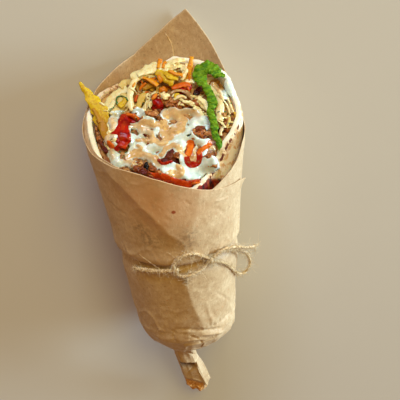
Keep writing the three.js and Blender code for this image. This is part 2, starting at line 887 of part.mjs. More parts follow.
const SAUCE_THICKNESS = 1.6;
const SAUCE_SINK = 1.5;
const SAUCE_UNDER_ROWS = [0.2, 0.5, 0.8];
const SAUCE_OVER_ROWS = [0.95, 0.8, 0.5, 0.2];
const BORDER_STEPS_PER_POINT = 1.2;
const DRAPE_REACH = 1.5;
const DRIZZLE_THICKNESS = 1;
const DRIZZLE_END_SHARE = 0.4;
const DRIZZLE_STEPS_PER_POINT = 1.5;
const RAY_HEIGHT = 60;

// Outlines go round the middle of each puddle, in the mouth's frame.
const GARLIC_OUTLINE = [
  [24, -8], [21.5, -1], [13, 1.5], [6, 3.8], [-1, 2.2], [-6, -4], [-13, -1.2], [-21, 4.4], [-26, 3.4],
  [-21.5, -5], [-20.5, -12], [-25, -15.4], [-27.6, -21.5], [-20, -25.6], [-12, -24.6], [-6.5, -29], [1, -33],
  [7, -37.6], [14, -39.6], [20, -36], [23.5, -28], [26, -19],
];
const GARLIC_MIDDLE = [2, -15];
const CHILLI_OUTLINE = [
  [16, -40.8], [8, -39.6], [0, -38.2], [-7, -36.6], [-9, -38.4], [-4, -40.8], [3, -42.4], [11, -43.6],
  [17, -43.4],
];
const CHILLI_MIDDLE = [4, -40.7];
const CHILLI_FLOOR = -5;

// Ribbons of drizzle on the garlic sauce: points across and up the mouth, and how wide
const DRIZZLES = [
  { points: [[-22, -1], [-15, -5.5], [-8, -3], [-3, -9], [3, -4], [10, -2.4], [16, -3.5]], width: 6 },
  { points: [[-23, -20], [-15, -22], [-8, -20.5], [-1, -18.5], [6, -17]], width: 4 },
  { points: [[9.4, -19.5], [9.8, -25.5], [12.6, -29.5], [16.2, -27], [17.4, -21.5], [22, -18.5]], width: 3 },
];

const downRay = new THREE.Raycaster();

// The highest of the pieces under a point of the mouth, or the given floor where there is none.
function highestUnder(pieces, x, y, floor) {
  downRay.set(new THREE.Vector3(x, y, RAY_HEIGHT), new THREE.Vector3(0, 0, -1));
  const hits = downRay.intersectObjects(pieces, false);
  return hits.length > 0 ? Math.max(hits[0].point.z, floor) : floor;
}

function drapedHeight(pieces, x, y, floor) {
  const around = [[0, 0], [1, 0], [-1, 0], [0, 1], [0, -1]];
  const heights = around.map(([dx, dy]) => (
    highestUnder(pieces, x + DRAPE_REACH * dx, y + DRAPE_REACH * dy, floor)
  ));
  return Math.max(...heights);
}

function puddle(outline, [middleX, middleY], pieces, floor) {
  const border = new THREE.CatmullRomCurve3(
    outline.map(([x, y]) => new THREE.Vector3(x, y, 0)),
    true,
  );
  const around = border.getPoints(Math.round(outline.length * BORDER_STEPS_PER_POINT)).slice(0, -1);
  const rowAt = (share, lift) => around.map((point) => {
    const x = lerp(middleX, point.x, share);
    const y = lerp(middleY, point.y, share);
    return new THREE.Vector3(x, y, drapedHeight(pieces, x, y, floor) + lift);
  });
  const under = SAUCE_UNDER_ROWS.map((share) => rowAt(share, -SAUCE_SINK));
  const over = SAUCE_OVER_ROWS.map((share) => rowAt(share, SAUCE_THICKNESS));
  return lofted([...under, rowAt(1, -SAUCE_SINK), rowAt(1, 0), ...over]);
}

function drizzle({ points, width }, pieces) {
  const path = points.map(([x, y]) => {
    const under = drapedHeight(pieces, x, y, FILLING_EDGE_HEIGHT);
    return [x, y, under + SAUCE_THICKNESS];
  });
  const endWidth = width * DRIZZLE_END_SHARE;
  return strip({
    points: path,
    widths: [endWidth, ...points.map(() => width), endWidth],
    thickness: 2 * DRIZZLE_THICKNESS,
    steps: Math.round(points.length * DRIZZLE_STEPS_PER_POINT),
  });
}

// Twine: a band round the waist, the knot, two loops and two loose ends

function bandPoint(angle) {
  const skin = paperOuterPoint(angle > FLAP_TIP_ANGLE ? angle - 360 : angle, TWINE_Y);
  const middle = new THREE.Vector3(0, TWINE_Y, coneRadius(TWINE_Y) - FLOOR_PRESS);
  const out = skin.clone().sub(middle).normalize();
  return skin.addScaledVector(out, TWINE_DIAMETER / 2 + TWINE_CLEARANCE);
}

function cord(points, steps) {
  const section = new THREE.Shape();
  for (let i = 0; i < TWINE_SIDES; i += 1) {
    const turn = (2 * Math.PI * i) / TWINE_SIDES;
    const x = (TWINE_DIAMETER / 2) * Math.cos(turn);
    const y = (TWINE_DIAMETER / 2) * Math.sin(turn);
    if (i === 0) {
      section.moveTo(x, y);
    } else {
      section.lineTo(x, y);
    }
  }
  const path = new THREE.CatmullRomCurve3(points);
  return new THREE.ExtrudeGeometry(section, { steps, bevelEnabled: false, extrudePath: path });
}

// Routes of the bow. Each point is the degrees from the top, the place along Y and the height
// over the cone. The two loops come back to the knot.
const KNOT = [27, -17.6, 1.4];
const LEFT_LOOP = [
  KNOT, [18, -12, 1.9], [9, -8.8, 2], [-1, -10.6, 2], [-7, -16.4, 2.2], [-4, -23, 2.2], [7, -22.6, 2.2],
  [18, -20, 2], KNOT,
];
const RIGHT_LOOP = [
  KNOT, [36, -14.6, 2.4], [49, -16.6, 3.6], [64, -23, 5.4], [74, -31, 7.4], [77, -38.6, 8.6],
  [76, -44.4, 6.4], [69, -43.6, 3.2], [56, -35, 1.9], [42, -25.4, 2], KNOT,
];
const LEFT_END = [[8, -20, 2], [-4, -20, 1.9], [-16, -20.4, 1.8], [-32, -21.2, 1.8], [-48, -22.6, 1.9]];
const RIGHT_END = [KNOT, [37, -13.4, 3], [50.5, -15.4, 5], [62.5, -20.6, 8.6], [73, -25, 11.6]];
const SHORT_END = [[7, -22, 2], [4.4, -26, 1.8], [2, -30, 1.8]];
const KNOT_SIZE = [5.6, 5, 4.4];

function overCone([angle, y, height]) {
  const turn = degToRad(angle);
  const radius = coneRadius(y) + height;
  const middleZ = coneRadius(y) - FLOOR_PRESS;
  return new THREE.Vector3(radius * Math.sin(turn), y, middleZ + radius * Math.cos(turn));
}

function twineGeometry() {
  const band = Array.from({ length: BAND_POINTS }, (_, i) => {
    const turn = (360 * i) / (BAND_POINTS - 1);
    return bandPoint(KNOT_ANGLE + turn);
  });
  const routes = [LEFT_LOOP, RIGHT_LOOP, LEFT_END, RIGHT_END, SHORT_END];
  const cords = routes.map((route) => cord(route.map(overCone), 2 * route.length - 2));
  const knotAt = overCone(KNOT).toArray();
  const knot = chunk({ at: knotAt, size: KNOT_SIZE, turn: [0, KNOT[0], 0], seed: 21, detail: 1 });
  return joined([cord(band, BAND_STEPS), knot, ...cords]);
}

// Materials: colour, roughness

const LOOKS = {
  paper: [0xb98c55, 0.85],
  bread: [0xf1dfb0, 0.8],
  filling: [0xb98d55, 0.6],
  chicken: [0x9a5f2c, 0.55],
  tomato: [0xb3260e, 0.3],
  lettuce: [0x5f9a25, 0.5],
  pepper: [0xe0ad25, 0.5],
  carrot: [0xe07a20, 0.45],
  onion: [0xf0dfa8, 0.4],
  cabbage: [0xe6d9a0, 0.45],
  garlic_sauce: [0xdcebe0, 0.2],
  chilli_sauce: [0xb03010, 0.2],
  twine: [0xd9bd8a, 0.9],
};

function namedMesh(name, look, geometry) {
  const [color, roughness] = LOOKS[look];
  const material = new THREE.MeshStandardMaterial({ color, roughness, metalness: 0 });
  const mesh = new THREE.Mesh(geometry, material);
  mesh.name = name;
  return mesh;
}

// Putting it together: the first of two pieces that meet is cut to fit the second

const group = new THREE.Group();
group.name = 'chicken_doner_kebab';

group.add(namedMesh('paper_wrap', 'paper', paperGeometry()));
const bread = breadGeometry();
group.add(namedMesh('flatbread', 'bread', bread));
group.add(namedMesh('twine', 'twine', twineGeometry()));

const placed = new Map();
const breadInMouth = bread.clone().applyMatrix4(toMouth);
for (const [name, { shape, look, ...sizes }] of Object.entries(TOPPINGS)) {
  placed.set(name, { look, geometry: shape(sizes) });
}

const core = joined([fillingCore(), ...scraps()]);
const LOOKS_UNDER_SAUCE = ['chicken', 'tomato', 'onion', 'cabbage'];
const underSauce = [...placed.values()].filter(({ look }) => LOOKS_UNDER_SAUCE.includes(look));
const bed = [core, ...underSauce.map(({ geometry }) => geometry)];
const bedMeshes = bed.map((geometry) => new THREE.Mesh(geometry));
const garlicPool = puddle(GARLIC_OUTLINE, GARLIC_MIDDLE, bedMeshes, FILLING_EDGE_HEIGHT);
const ribbons = DRIZZLES.map((ribbon) => drizzle(ribbon, bedMeshes));
const garlic = joined([garlicPool, ...ribbons]);
const chilliPool = puddle(CHILLI_OUTLINE, CHILLI_MIDDLE, bedMeshes, CHILLI_FLOOR);
const chilli = cutBy(chilliPool, [garlic, breadInMouth]);

const finished = [breadInMouth, garlic, chilli];
for (const [name, { look, geometry }] of placed) {
  const fitted = cutBy(geometry, finished);
  finished.push(fitted);
  mouth.add(namedMesh(name, look, fitted));
}
mouth.add(namedMesh('garlic_sauce', 'garlic_sauce', cutBy(garlic, [breadInMouth])));
mouth.add(namedMesh('chilli_sauce', 'chilli_sauce', chilli));
const filling = cutBy(core, finished.slice(1), FILLING_CUT_GAP, FILLING_CUT_COARSENESS);
mouth.add(namedMesh('filling', 'filling', filling));
group.add(mouth);

export default group;
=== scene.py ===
"""The looks of a chicken doner kebab in a twine-tied paper cone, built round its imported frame.

Shapes are worked out in millimetres and scaled to metres when a mesh is made. The wrap lies on
its back: its open mouth is towards +Y, its twisted tail towards -Y and its shown side is up.
"""

import math

import bmesh
import bpy
import numpy as np
from mathutils import Matrix, Vector


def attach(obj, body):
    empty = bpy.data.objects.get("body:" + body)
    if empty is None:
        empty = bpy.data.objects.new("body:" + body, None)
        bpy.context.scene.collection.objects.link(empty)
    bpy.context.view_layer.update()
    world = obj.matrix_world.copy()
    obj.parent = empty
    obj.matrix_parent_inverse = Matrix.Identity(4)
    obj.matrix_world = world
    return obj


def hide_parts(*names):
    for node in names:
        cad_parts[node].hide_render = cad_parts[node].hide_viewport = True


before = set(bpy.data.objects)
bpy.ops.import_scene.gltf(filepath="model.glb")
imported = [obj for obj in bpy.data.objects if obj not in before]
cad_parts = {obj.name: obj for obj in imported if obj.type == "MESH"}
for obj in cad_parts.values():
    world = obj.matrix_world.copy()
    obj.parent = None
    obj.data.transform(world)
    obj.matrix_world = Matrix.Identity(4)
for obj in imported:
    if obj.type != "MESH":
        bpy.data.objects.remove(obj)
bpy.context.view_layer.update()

MM = 0.001

# The cone that paper, bread and filling share
BODY_RADIUS = 38.0
CONE_SLOPE = 0.109
FLOOR_PRESS = 1.3
SHOULDER_Y = -73.0
NECK_Y = -103.0
NECK_RADIUS = 8.8
TWINE_Y = -16.5

# The mouth's own frame: across, up to the back of the mouth, and out of it
MOUTH_ORIGIN = np.array([0.0, 60.0, 43.0])
MOUTH_SLOPE = 0.6
MOUTH_OUT = np.array([0.0, 1.0, MOUTH_SLOPE]) / math.hypot(1.0, MOUTH_SLOPE)
MOUTH_BACK = np.array([0.0, MOUTH_SLOPE, -1.0]) / math.hypot(1.0, MOUTH_SLOPE)
MOUTH_ACROSS = np.array([1.0, 0.0, 0.0])
MOUTH_AXES = np.stack([MOUTH_ACROSS, MOUTH_BACK, MOUTH_OUT])


# Numbers

def smoothstep(value, low, high):
    share = np.clip((np.asarray(value, float) - low) / (high - low), 0.0, 1.0)
    return share * share * (3.0 - 2.0 * share)


def blend(a, b, share):
    return a + (b - a) * share


def from_mouth(local):
    """Points of the mouth's frame, moved to the wrap's frame."""
    return MOUTH_ORIGIN + np.asarray(local, float) @ MOUTH_AXES


def to_mouth(points):
    return (np.asarray(points, float) - MOUTH_ORIGIN) @ MOUTH_AXES.T


def cell_value(x, y, z, seed):
    """A number between -1 and 1 for each cell of a lattice, always the same for the same cell."""
    mixed = (x * 374761393 + y * 668265263 + z * 1274126177 + seed * 974634777) & 0xFFFFFFFF
    mixed = ((mixed ^ (mixed >> 13)) * 1103515245) & 0xFFFFFFFF
    mixed = ((mixed ^ (mixed >> 16)) * 69069) & 0xFFFFFFFF
    return (mixed & 0xFFFFFF) / float(0x7FFFFF) - 1.0


def noise(points, size, seed):
    """Smooth bumps between -1 and 1, each about as wide as size. Size may differ along x, y, z."""
    place = np.asarray(points, float) / np.asarray(size, float)
    cell = np.floor(place).astype(np.int64)
    part = place - cell
    part = part * part * part * (part * (part * 6.0 - 15.0) + 10.0)
    total = 0.0
    for corner in np.ndindex(2, 2, 2):
        weight = 1.0
        for axis in range(3):
            weight = weight * (part[..., axis] if corner[axis] else 1.0 - part[..., axis])
        value = cell_value(*(cell[..., axis] + corner[axis] for axis in range(3)), seed)
        total = total + weight * value
    return total


def layered(points, layers):
    """Noise of several kinds together: each layer is its depth, its size and its seed."""
    return sum(depth * noise(points, size, seed) for depth, size, seed in layers)


def rough_noise(points, size, seed, octaves=3):
    """Bumps with finer bumps on them."""
    size = np.asarray(size, float)
    total = 0.0
    for octave in range(octaves):
        total = total + noise(points, size / 2.0 ** octave, seed + octave) / 2.0 ** octave
    return total / 1.6


def ridges(points, size, seed):
    """Sharp ridges between soft hollows, as in crumpled paper: 0 in the hollows, 1 on a ridge."""
    return 1.0 - np.abs(noise(points, size, seed)) * 2.0


def smooth_path(points, spacing):
    """A Catmull-Rom curve through the points, with its points evenly spaced along it."""
    points = np.asarray(points, float)
    padded = np.vstack([2 * points[0] - points[1], points, 2 * points[-1] - points[-2]])
    dense = []
    for i in range(len(points) - 1):
        p0, p1, p2, p3 = padded[i:i + 4]
        for t in np.linspace(0.0, 1.0, 24, endpoint=False):
            dense.append(0.5 * (2 * p1 + (p2 - p0) * t + (2 * p0 - 5 * p1 + 4 * p2 - p3) * t ** 2
                                + (3 * p1 - p0 - 3 * p2 + p3) * t ** 3))
    dense.append(points[-1])
    return evenly(np.array(dense), spacing)


def evenly(path, spacing):
    """The same path with its points a fixed distance apart."""
    steps = np.linalg.norm(np.diff(path, axis=0), axis=1)
    along = np.concatenate([[0.0], np.cumsum(steps)])
    count = max(int(round(along[-1] / spacing)), 2)
    wanted = np.linspace(0.0, along[-1], count + 1)
    return np.stack([np.interp(wanted, along, path[:, axis]) for axis in range(3)], axis=1)


def looked_up(table, value, column=1):
    """A column of a table at a place in its first column, which rises or falls all the way."""
    rising = 1.0 if table[-1, 0] > table[0, 0] else -1.0
    return np.interp(rising * value, rising * table[:, 0], table[:, column])


def in_line(values):
    """Places for noise that varies along one line."""
    return np.stack([values, 0 * values, 0 * values], axis=-1)


def unit(vectors):
    length = np.linalg.norm(vectors, axis=-1, keepdims=True)
    return vectors / np.maximum(length, 1e-9)


# Meshes

def grid_faces(rows, columns, closed=False):
    """Quads between the points of a grid, row by row."""
    last = columns if closed else columns - 1
    row, column = np.meshgrid(np.arange(rows - 1), np.arange(last), indexing="ij")
    here = row * columns + column
    there = row * columns + (column + 1) % columns
    return np.stack([here, there, there + columns, here + columns], axis=-1).reshape(-1, 4).tolist()


def shell(outer, inner):
    """A closed skin between two grids of points of one size."""
    rows, columns = outer.shape[:2]
    count = rows * columns
    front = np.array(grid_faces(rows, columns))
    faces = [front, front[:, ::-1] + count]
    index = np.arange(count).reshape(rows, columns)
    for line in (index[0], index[-1][::-1], index[::-1, 0], index[:, -1]):
        a, b = line[:-1], line[1:]
        faces.append(np.stack([b, a, a + count, b + count], axis=-1))
    return np.vstack([outer.reshape(-1, 3), inner.reshape(-1, 3)]), np.vstack(faces).tolist()


def capped(grid):
    """A closed skin from rings of points, with a fan of triangles over the first and last ring."""
    rows, columns = grid.shape[:2]
    points = np.vstack([grid.reshape(-1, 3), grid[0].mean(axis=0), grid[-1].mean(axis=0)])
    faces = grid_faces(rows, columns, closed=True)
    for row, middle in ((0, rows * columns), (rows - 1, rows * columns + 1)):
        start = row * columns
        faces += [[start + i, start + (i + 1) % columns, middle] for i in range(columns)]
    return points, faces


def grid_normals(grid, closed=False):
    if closed:
        padded = np.concatenate([grid[:, -1:], grid, grid[:, :1]], axis=1)
        across = (padded[:, 2:] - padded[:, :-2]) / 2.0
    else:
        across = np.gradient(grid, axis=1)
    return unit(np.cross(np.gradient(grid, axis=0), across))


def joined(parts):
    """Several (points, faces) as one."""
    points, faces, start = [], [], 0
    for part_points, part_faces in parts:
        points.append(part_points)
        faces += [[corner + start for corner in face] for face in part_faces]
        start += len(part_points)
    return np.vstack(points), faces


def mesh_object(name, points, faces, material, values=None):
    """A smooth-shaded object from points in millimetres, with named values stored on its points."""
    mesh = bpy.data.meshes.new(name)
    mesh.from_pydata((np.asarray(points) * MM).tolist(), [], faces)
    work = bmesh.new()
    work.from_mesh(mesh)
    bmesh.ops.recalc_face_normals(work, faces=work.faces)
    work.to_mesh(mesh)
    work.free()
    mesh.shade_smooth()
    mesh.materials.append(material)
    for label, numbers in (values or {}).items():
        layer = mesh.attributes.new(label, "FLOAT", "POINT")
        layer.data.foreach_set("value", np.asarray(numbers, np.float32).ravel())
    piece = bpy.data.objects.new(name, mesh)
    bpy.context.scene.collection.objects.link(piece)
    return piece


def keep(piece, slot, *nodes):
    """Puts a finished piece on the part, and hides the solids it stands for."""
    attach(piece, "root")
    if nodes:
        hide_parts(*nodes)
    return piece


def refined_copy(node, voxel, smoothing):
    """The points, normals and faces of a node's shape with small even faces and soft edges."""
    source = bpy.data.objects.new("source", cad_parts[node].data.copy())
    bpy.context.scene.collection.objects.link(source)
    remesh = source.modifiers.new("Remesh", "REMESH")
    remesh.mode = "VOXEL"
    remesh.voxel_size = voxel * MM
    soften = source.modifiers.new("Smooth", "SMOOTH")
    soften.factor = 0.5
    soften.iterations = smoothing
    evaluated = source.evaluated_get(bpy.context.evaluated_depsgraph_get())
    mesh = bpy.data.meshes.new_from_object(evaluated)
    points = np.empty(len(mesh.vertices) * 3)
    mesh.vertices.foreach_get("co", points)
    normals = np.empty(len(mesh.vertices) * 3)
    mesh.vertex_normals.foreach_get("vector", normals)
    faces = [list(face.vertices) for face in mesh.polygons]
    bpy.data.objects.remove(source)
    return points.reshape(-1, 3) / MM, normals.reshape(-1, 3), faces


# Materials

def linear(red, green, blue):
    """A colour as seen on a screen, 0 to 255, turned into what a shader takes."""
    shares = [value / 255.0 for value in (red, green, blue)]
    curve = [s / 12.92 if s <= 0.04045 else ((s + 0.055) / 1.055) ** 2.4 for s in shares]
    return (*curve, 1.0)


class Finish:
    """A material whose colour and relief come from noise in the object's own space."""

    def __init__(self, name, color, shader_values):
        self.material = bpy.data.materials.new(name)
        self.material.use_nodes = True
        tree = self.material.node_tree
        self.nodes, self.links = tree.nodes, tree.links
        self.shader = self.nodes["Principled BSDF"]
        self.place = self.nodes.new("ShaderNodeTexCoord").outputs["Object"]
        self.color = linear(*color)
        self.shader.inputs["Base Color"].default_value = self.color
        self.normal = None
        for socket, value in shader_values.items():
            self.shader.inputs[socket].default_value = value

    def add(self, kind, **inputs):
        """A new node with the given inputs: a number, a list or another node's output each."""
        node = self.nodes.new("ShaderNode" + kind)
        for label, value in inputs.items():
            self.plug(node.inputs[label.replace("_", " ")], value)
        return node

    def plug(self, socket, value):
        if isinstance(value, bpy.types.NodeSocket):
            self.links.new(value, socket)
        else:
            socket.default_value = value

    def noise(self, size, detail=3.0, roughness=0.55, along=None, turn=0.0):
        """Noise of a size in millimetres, that may be stretched and turned about Z, in degrees."""
        place = self.place
        if along:
            turned = (0.0, 0.0, math.radians(turn))
            place = self.add("Mapping", Vector=place, Rotation=turned, Scale=along).outputs["Vector"]
        return self.add("TexNoise", Vector=place, Scale=1.0 / (size * MM), Detail=detail,
                        Roughness=roughness).outputs["Fac"]

    def value(self, label):
        """A value that is stored on the mesh."""
        node = self.add("Attribute")
        node.attribute_name = label
        return node.outputs["Fac"]

    def between(self, value, low, high):
        """0 where the value is at low, 1 where it is at high, and soft in between."""
        node = self.add("MapRange", Value=value, From_Min=low, From_Max=high)
        node.interpolation_type = "SMOOTHSTEP"
        return node.outputs["Result"]

    def times(self, first, second):
        node = self.nodes.new("ShaderNodeMath")
        node.operation = "MULTIPLY"
        self.plug(node.inputs[0], first)
        self.plug(node.inputs[1], second)
        return node.outputs["Value"]

    def tint(self, mask, color):
        """Moves the colour towards another one where the mask is 1."""
        node = self.nodes.new("ShaderNodeMix")
        node.data_type = "RGBA"
        colors = [socket for socket in node.inputs if socket.type == "RGBA"]
        self.plug(node.inputs["Factor"], mask)
        self.plug(colors[0], self.color)
        self.plug(colors[1], linear(*color))
        self.color = next(socket for socket in node.outputs if socket.type == "RGBA")
        self.links.new(self.color, self.shader.inputs["Base Color"])

    def bump(self, height, depth):
        """Relief of the given depth in millimetres."""
        node = self.add("Bump", Height=height, Strength=1.0, Distance=depth * MM)
        if self.normal is not None:
            self.links.new(self.normal, node.inputs["Normal"])
        self.normal = node.outputs["Normal"]
        self.links.new(self.normal, self.shader.inputs["Normal"])


def skin(roughness, specular=0.5, inside=0.0, inside_scale=2.0, sheen=0.0):
    """The shader's values: how rough, how shiny, how much light goes in and how far, in mm."""
    return {"Roughness": roughness, "Specular IOR Level": specular, "Subsurface Weight": inside,
            "Subsurface Scale": inside_scale * MM, "Sheen Weight": sheen}


def grain(size, low=None, high=None, *shape):
    """A mask of noise, that goes from 0 to 1 between the values low and high."""
    def mask(finish):
        noise_value = finish.noise(size, *shape)
        return noise_value if low is None else finish.between(noise_value, low, high)
    return mask


def mark(label, low=None, high=None):
    """A mask of a value stored on the mesh, that goes from 0 to 1 between low and high."""
    def mask(finish):
        return finish.value(label) if low is None else finish.between(finish.value(label), low, high)
    return mask


# Each finish: its colour and its shader's values; layers of tint from the bottom up, with the
# colour, how much of it and the masks where it shows; and relief, with its depth and its noise
FINISHES = {
    "kraft_paper": ((211, 179, 136), skin(0.6), [
        ((180, 140, 94), 0.5, grain(24, 0.4, 0.66, 4, 0.6)),
        ((176, 134, 90), 0.35, grain(8, 0.46, 0.62, 5, 0.7)),
        ((174, 132, 88), 0.5, grain(2.2, 0.38, 0.64, 6, 0.8, (1, 0.7, 1))),
        ((134, 90, 50), 0.55, grain(1.1, 0.6, 0.7, 3, 0.6)),
        ((194, 122, 66), 0.6, grain(1.9, 0.66, 0.74, 2, 0.5)),
        ((222, 166, 118), 0.7, mark("stain"), grain(9, 0.2, 0.5, 4, 0.6)),
        ((118, 92, 62), 0.5, mark("smudge"), grain(2.6, 0.42, 0.6, 4, 0.7)),
        ((156, 74, 34), 1, mark("spot", 0.3, 0.7)),
        # painted shade inside the tail's pocket
        ((84, 52, 24), 0.9, mark("pocket")),
        ((232, 206, 166), 0.4, grain(1.2, 0.58, 0.72, 3, 0.6, (1, 0.22, 1), 25)),
    ], [(0.07, 1.6, 5, 0.7, (1, 0.3, 1)), (0.3, 7, 4, 0.6)]),
    # torn paper: kraft, with the saturated orange of light shining through thin layers painted in
    "torn_paper_painted_backlight": ((226, 170, 106), skin(0.75, 0.2), [
        ((196, 128, 64), 1, grain(2.4, 0.44, 0.6, 4, 0.6)),
        ((240, 206, 156), 0.7, grain(1.6, 0.56, 0.68)),
    ], [(0.2, 0.9, 4, 0.7)]),
    "paper_crease": ((240, 214, 168), skin(0.7), [
        ((214, 176, 122), 1, grain(1.4, 0.42, 0.62)),
    ], [(0.05, 0.7)]),
    "flatbread_crumb": ((244, 234, 208), skin(0.75, 0.2, 0.12), [
        ((238, 218, 172), 0.5, grain(7, None, None, 4)),
        ((222, 200, 164), 0.8, mark("crust")),
        ((196, 138, 74), 0.8, mark("crust"), grain(4.6, 0.5, 0.6, 3, 0.6)),
        ((206, 154, 84), 0.7, mark("toast")),
        ((132, 66, 16), 0.8, mark("toast"), grain(1.7, 0.52, 0.56, 2, 0.5)),
        ((108, 46, 8), 1, mark("dash", 0.3, 0.6)),
        ((58, 22, 4), 1, mark("dash", 0.8, 1)),
        ((150, 70, 22), 1, mark("oil_and_painted_shade", 0.15, 0.6)),
        ((124, 22, 3), 1, mark("oil_and_painted_shade", 0.3, 0.75), grain(2.6, 0.34, 0.5, 4, 0.7)),
        # painted shade: near black where the bread's foot meets the paper
        ((34, 14, 5), 0.9, mark("oil_and_painted_shade", 0.2, 0.5), grain(4, 0.48, 0.6, 4, 0.65, (1, 0.5, 1))),
    ], [(0.16, 1.1, 5, 0.65), (0.3, 3.6)]),
    "moist_filling": ((118, 62, 22), skin(0.4, 0.25), [
        ((196, 146, 78), 1, mark("salad")),
        ((172, 118, 60), 1, grain(3, 0.44, 0.6, 4)),
        ((96, 40, 12), 1, grain(2.4, 0.56, 0.68)),
    ], [(0.5, 1.6, 5, 0.65)]),
    "roast_chicken": ((206, 146, 82), skin(0.3, 0.2, 0.05), [
        ((156, 80, 26), 1, mark("tone", 0, 0.5)),
        ((220, 164, 98), 0.7, grain(1.5, 0.54, 0.66, 3, 0.6, (0.4, 1, 1), 25)),
        ((88, 14, 3), 1, mark("tone", 0.5, 0.95)),
        ((70, 24, 6), 0.85, grain(1.6, 0.5, 0.6, 4, 0.65)),
        ((20, 10, 8), 1, mark("tone", 1.05, 1.3)),
    ], [(0.45, 0.9, 5, 0.65, (0.35, 1, 1), 25)]),
    "tomato_flesh": ((158, 16, 4), skin(0.2, 0.1, 0.05), [
        ((118, 6, 2), 1, grain(4.6, 0.42, 0.6)),
        ((214, 82, 22), 1, mark("tone"), grain(6, 0.4, 0.6, 2)),
        ((206, 84, 26), 0.7, grain(2.2, 0.6, 0.72)),
    ], [(0.22, 2.4)]),
    "lettuce_leaf": ((100, 130, 6), skin(0.5, 0.12), [
        ((64, 106, 6), 1, grain(1.6, 0.48, 0.58, 4, 0.65, (0.45, 1, 1), 20)),
        # painted shade: darker green where the leaf's tone is low, in the dips of its curls
        ((34, 70, 4), 1, mark("tone", 0.5, 0)),
        ((136, 172, 52), 0.5, grain(0.9, 0.58, 0.7)),
    ], [(0.7, 1.6, 4, 0.65, (0.45, 1, 1), 20), (0.1, 0.6)]),
    "yellow_pepper": ((210, 170, 20), skin(0.4, 0.2, 0.08), [
        ((150, 88, 12), 1, mark("tone")),
        ((176, 118, 18), 0.6, grain(1.3, 0.46, 0.62, 5, 0.7)),
    ], [(0.35, 0.8, 4, 0.55, (1, 0.6, 1))]),
    "carrot": ((210, 140, 16), skin(0.34, 0.2, 0.08), [
        ((196, 66, 10), 1, mark("tone")),
        ((214, 98, 18), 0.5, grain(1.4, 0.48, 0.66, 4)),
    ], [(0.12, 0.7, 4)]),
    "onion": ((236, 214, 154), skin(0.26, 0.4, 0.15), [
        ((142, 88, 34), 1, mark("tone")),
        ((224, 184, 112), 0.5, grain(3, 0.46, 0.66)),
    ], [(0.12, 0.8, 3, 0.55, (0.3, 1, 1))]),
    "cabbage": ((238, 220, 164), skin(0.34, 0.3, 0.12), [
        ((196, 158, 60), 1, mark("tone")),
        ((212, 168, 92), 0.6, grain(2.2, 0.46, 0.64, 4, 0.65)),
        ((176, 158, 80), 0.4, grain(1.2, 0.58, 0.7)),
    ], [(0.2, 0.8, 4)]),
    "green_herb": ((58, 104, 26), skin(0.5), [
        ((30, 62, 16), 1, grain(0.9, 0.45, 0.6, 2)),
    ], [(0.05, 0.4, 2)]),
    "garlic_sauce": ((216, 219, 204), skin(0.08, 0.5, 0.1, 1.5), [
        ((168, 184, 172), 0.5, grain(5, 0.4, 0.66, 2)),
        # painted shade in the sauce's hollows
        ((150, 162, 140), 0.5, mark("painted_hollow_shade")),
        ((208, 166, 110), 1, mark("tan")),
        ((190, 136, 76), 0.5, mark("tan"), grain(4.6, 0.44, 0.64, 2)),
        ((92, 96, 66), 0.7, grain(0.8, 0.68, 0.73, 2)),
    ], [(0.1, 2.2, 2)]),
    "chilli_sauce": ((150, 14, 2), skin(0.16, 0.2), [
        ((204, 96, 18), 1, mark("tone")),
        ((190, 62, 10), 0.6, grain(2.2, 0.5, 0.62, 4)),
    ], [(0.12, 1.3, 4)]),
    "jute_twine": ((222, 192, 146), skin(0.8, sheen=0.2), [
        ((176, 138, 90), 1, grain(1, 0.45, 0.62, 4)),
    ], [(0.16, 0.35, 4, 0.55, (1, 0.3, 0.3))]),
    "loose_fibres": ((228, 206, 168), skin(0.7), [((196, 164, 120), 1, grain(2, 0.4, 0.6, 2))], []),
    "pale_floor": ((202, 192, 178), skin(0.85), [((190, 180, 166), 0.2, grain(40))], []),
}
FOOD_FINISHES = {"chicken": "roast_chicken", "tomato": "tomato_flesh", "lettuce": "lettuce_leaf",
                 "pepper": "yellow_pepper", "carrot": "carrot", "onion": "onion",
                 "cabbage": "cabbage", "herb": "green_herb"}


def finished(name):
    """A new material with one of the finishes."""
    color, shader_values, layers, relief = FINISHES[name]
    finish = Finish(name, color, shader_values)
    for tint, share, *masks in layers:
        for mask in masks:
            share = finish.times(mask(finish), share)
        finish.tint(share, tint)
    for depth, *noise_shape in relief:
        finish.bump(finish.noise(*noise_shape), depth)
    return finish.material


# Camera, lights and floor

CAMERA_TARGET = np.array([14.943, 5.936, 40.0])
CAMERA_ELEVATION = 60.495
CAMERA_AZIMUTH = -2.466
CAMERA_ROLL = -5.821
CAMERA_DISTANCE = 709.435
CAMERA_LENS = 110.354
SENSOR = 36.0

# Low light from the right, as on the shown one, soft light into the mouth, and warm light all round
AMBIENT_COLOR = (1.0, 0.58, 0.28, 1.0)
AMBIENT_STRENGTH = 0.3
FLOOR_HALF = 3000.0
FLOOR_GAP = 0.02
# Place, target and size in metres, power and colour
LIGHTS = {
    "key": ((2.29, 0.12, 0.32), (0.0, 0.0, 0.04), (1.0, 0.6), 117.0, (0.54, 0.79, 1.0)),
    "top": ((0.5, 1.4, 1.4), (0.0, 0.0, 0.04), (1.0, 1.0), 17.0, (1.0, 0.86, 0.2)),
    "mouth": ((-0.1, 2.1, 0.8), (0.0, 0.06, 0.05), (0.9, 0.5), 42.0, (0.54, 0.72, 1.0)),
}


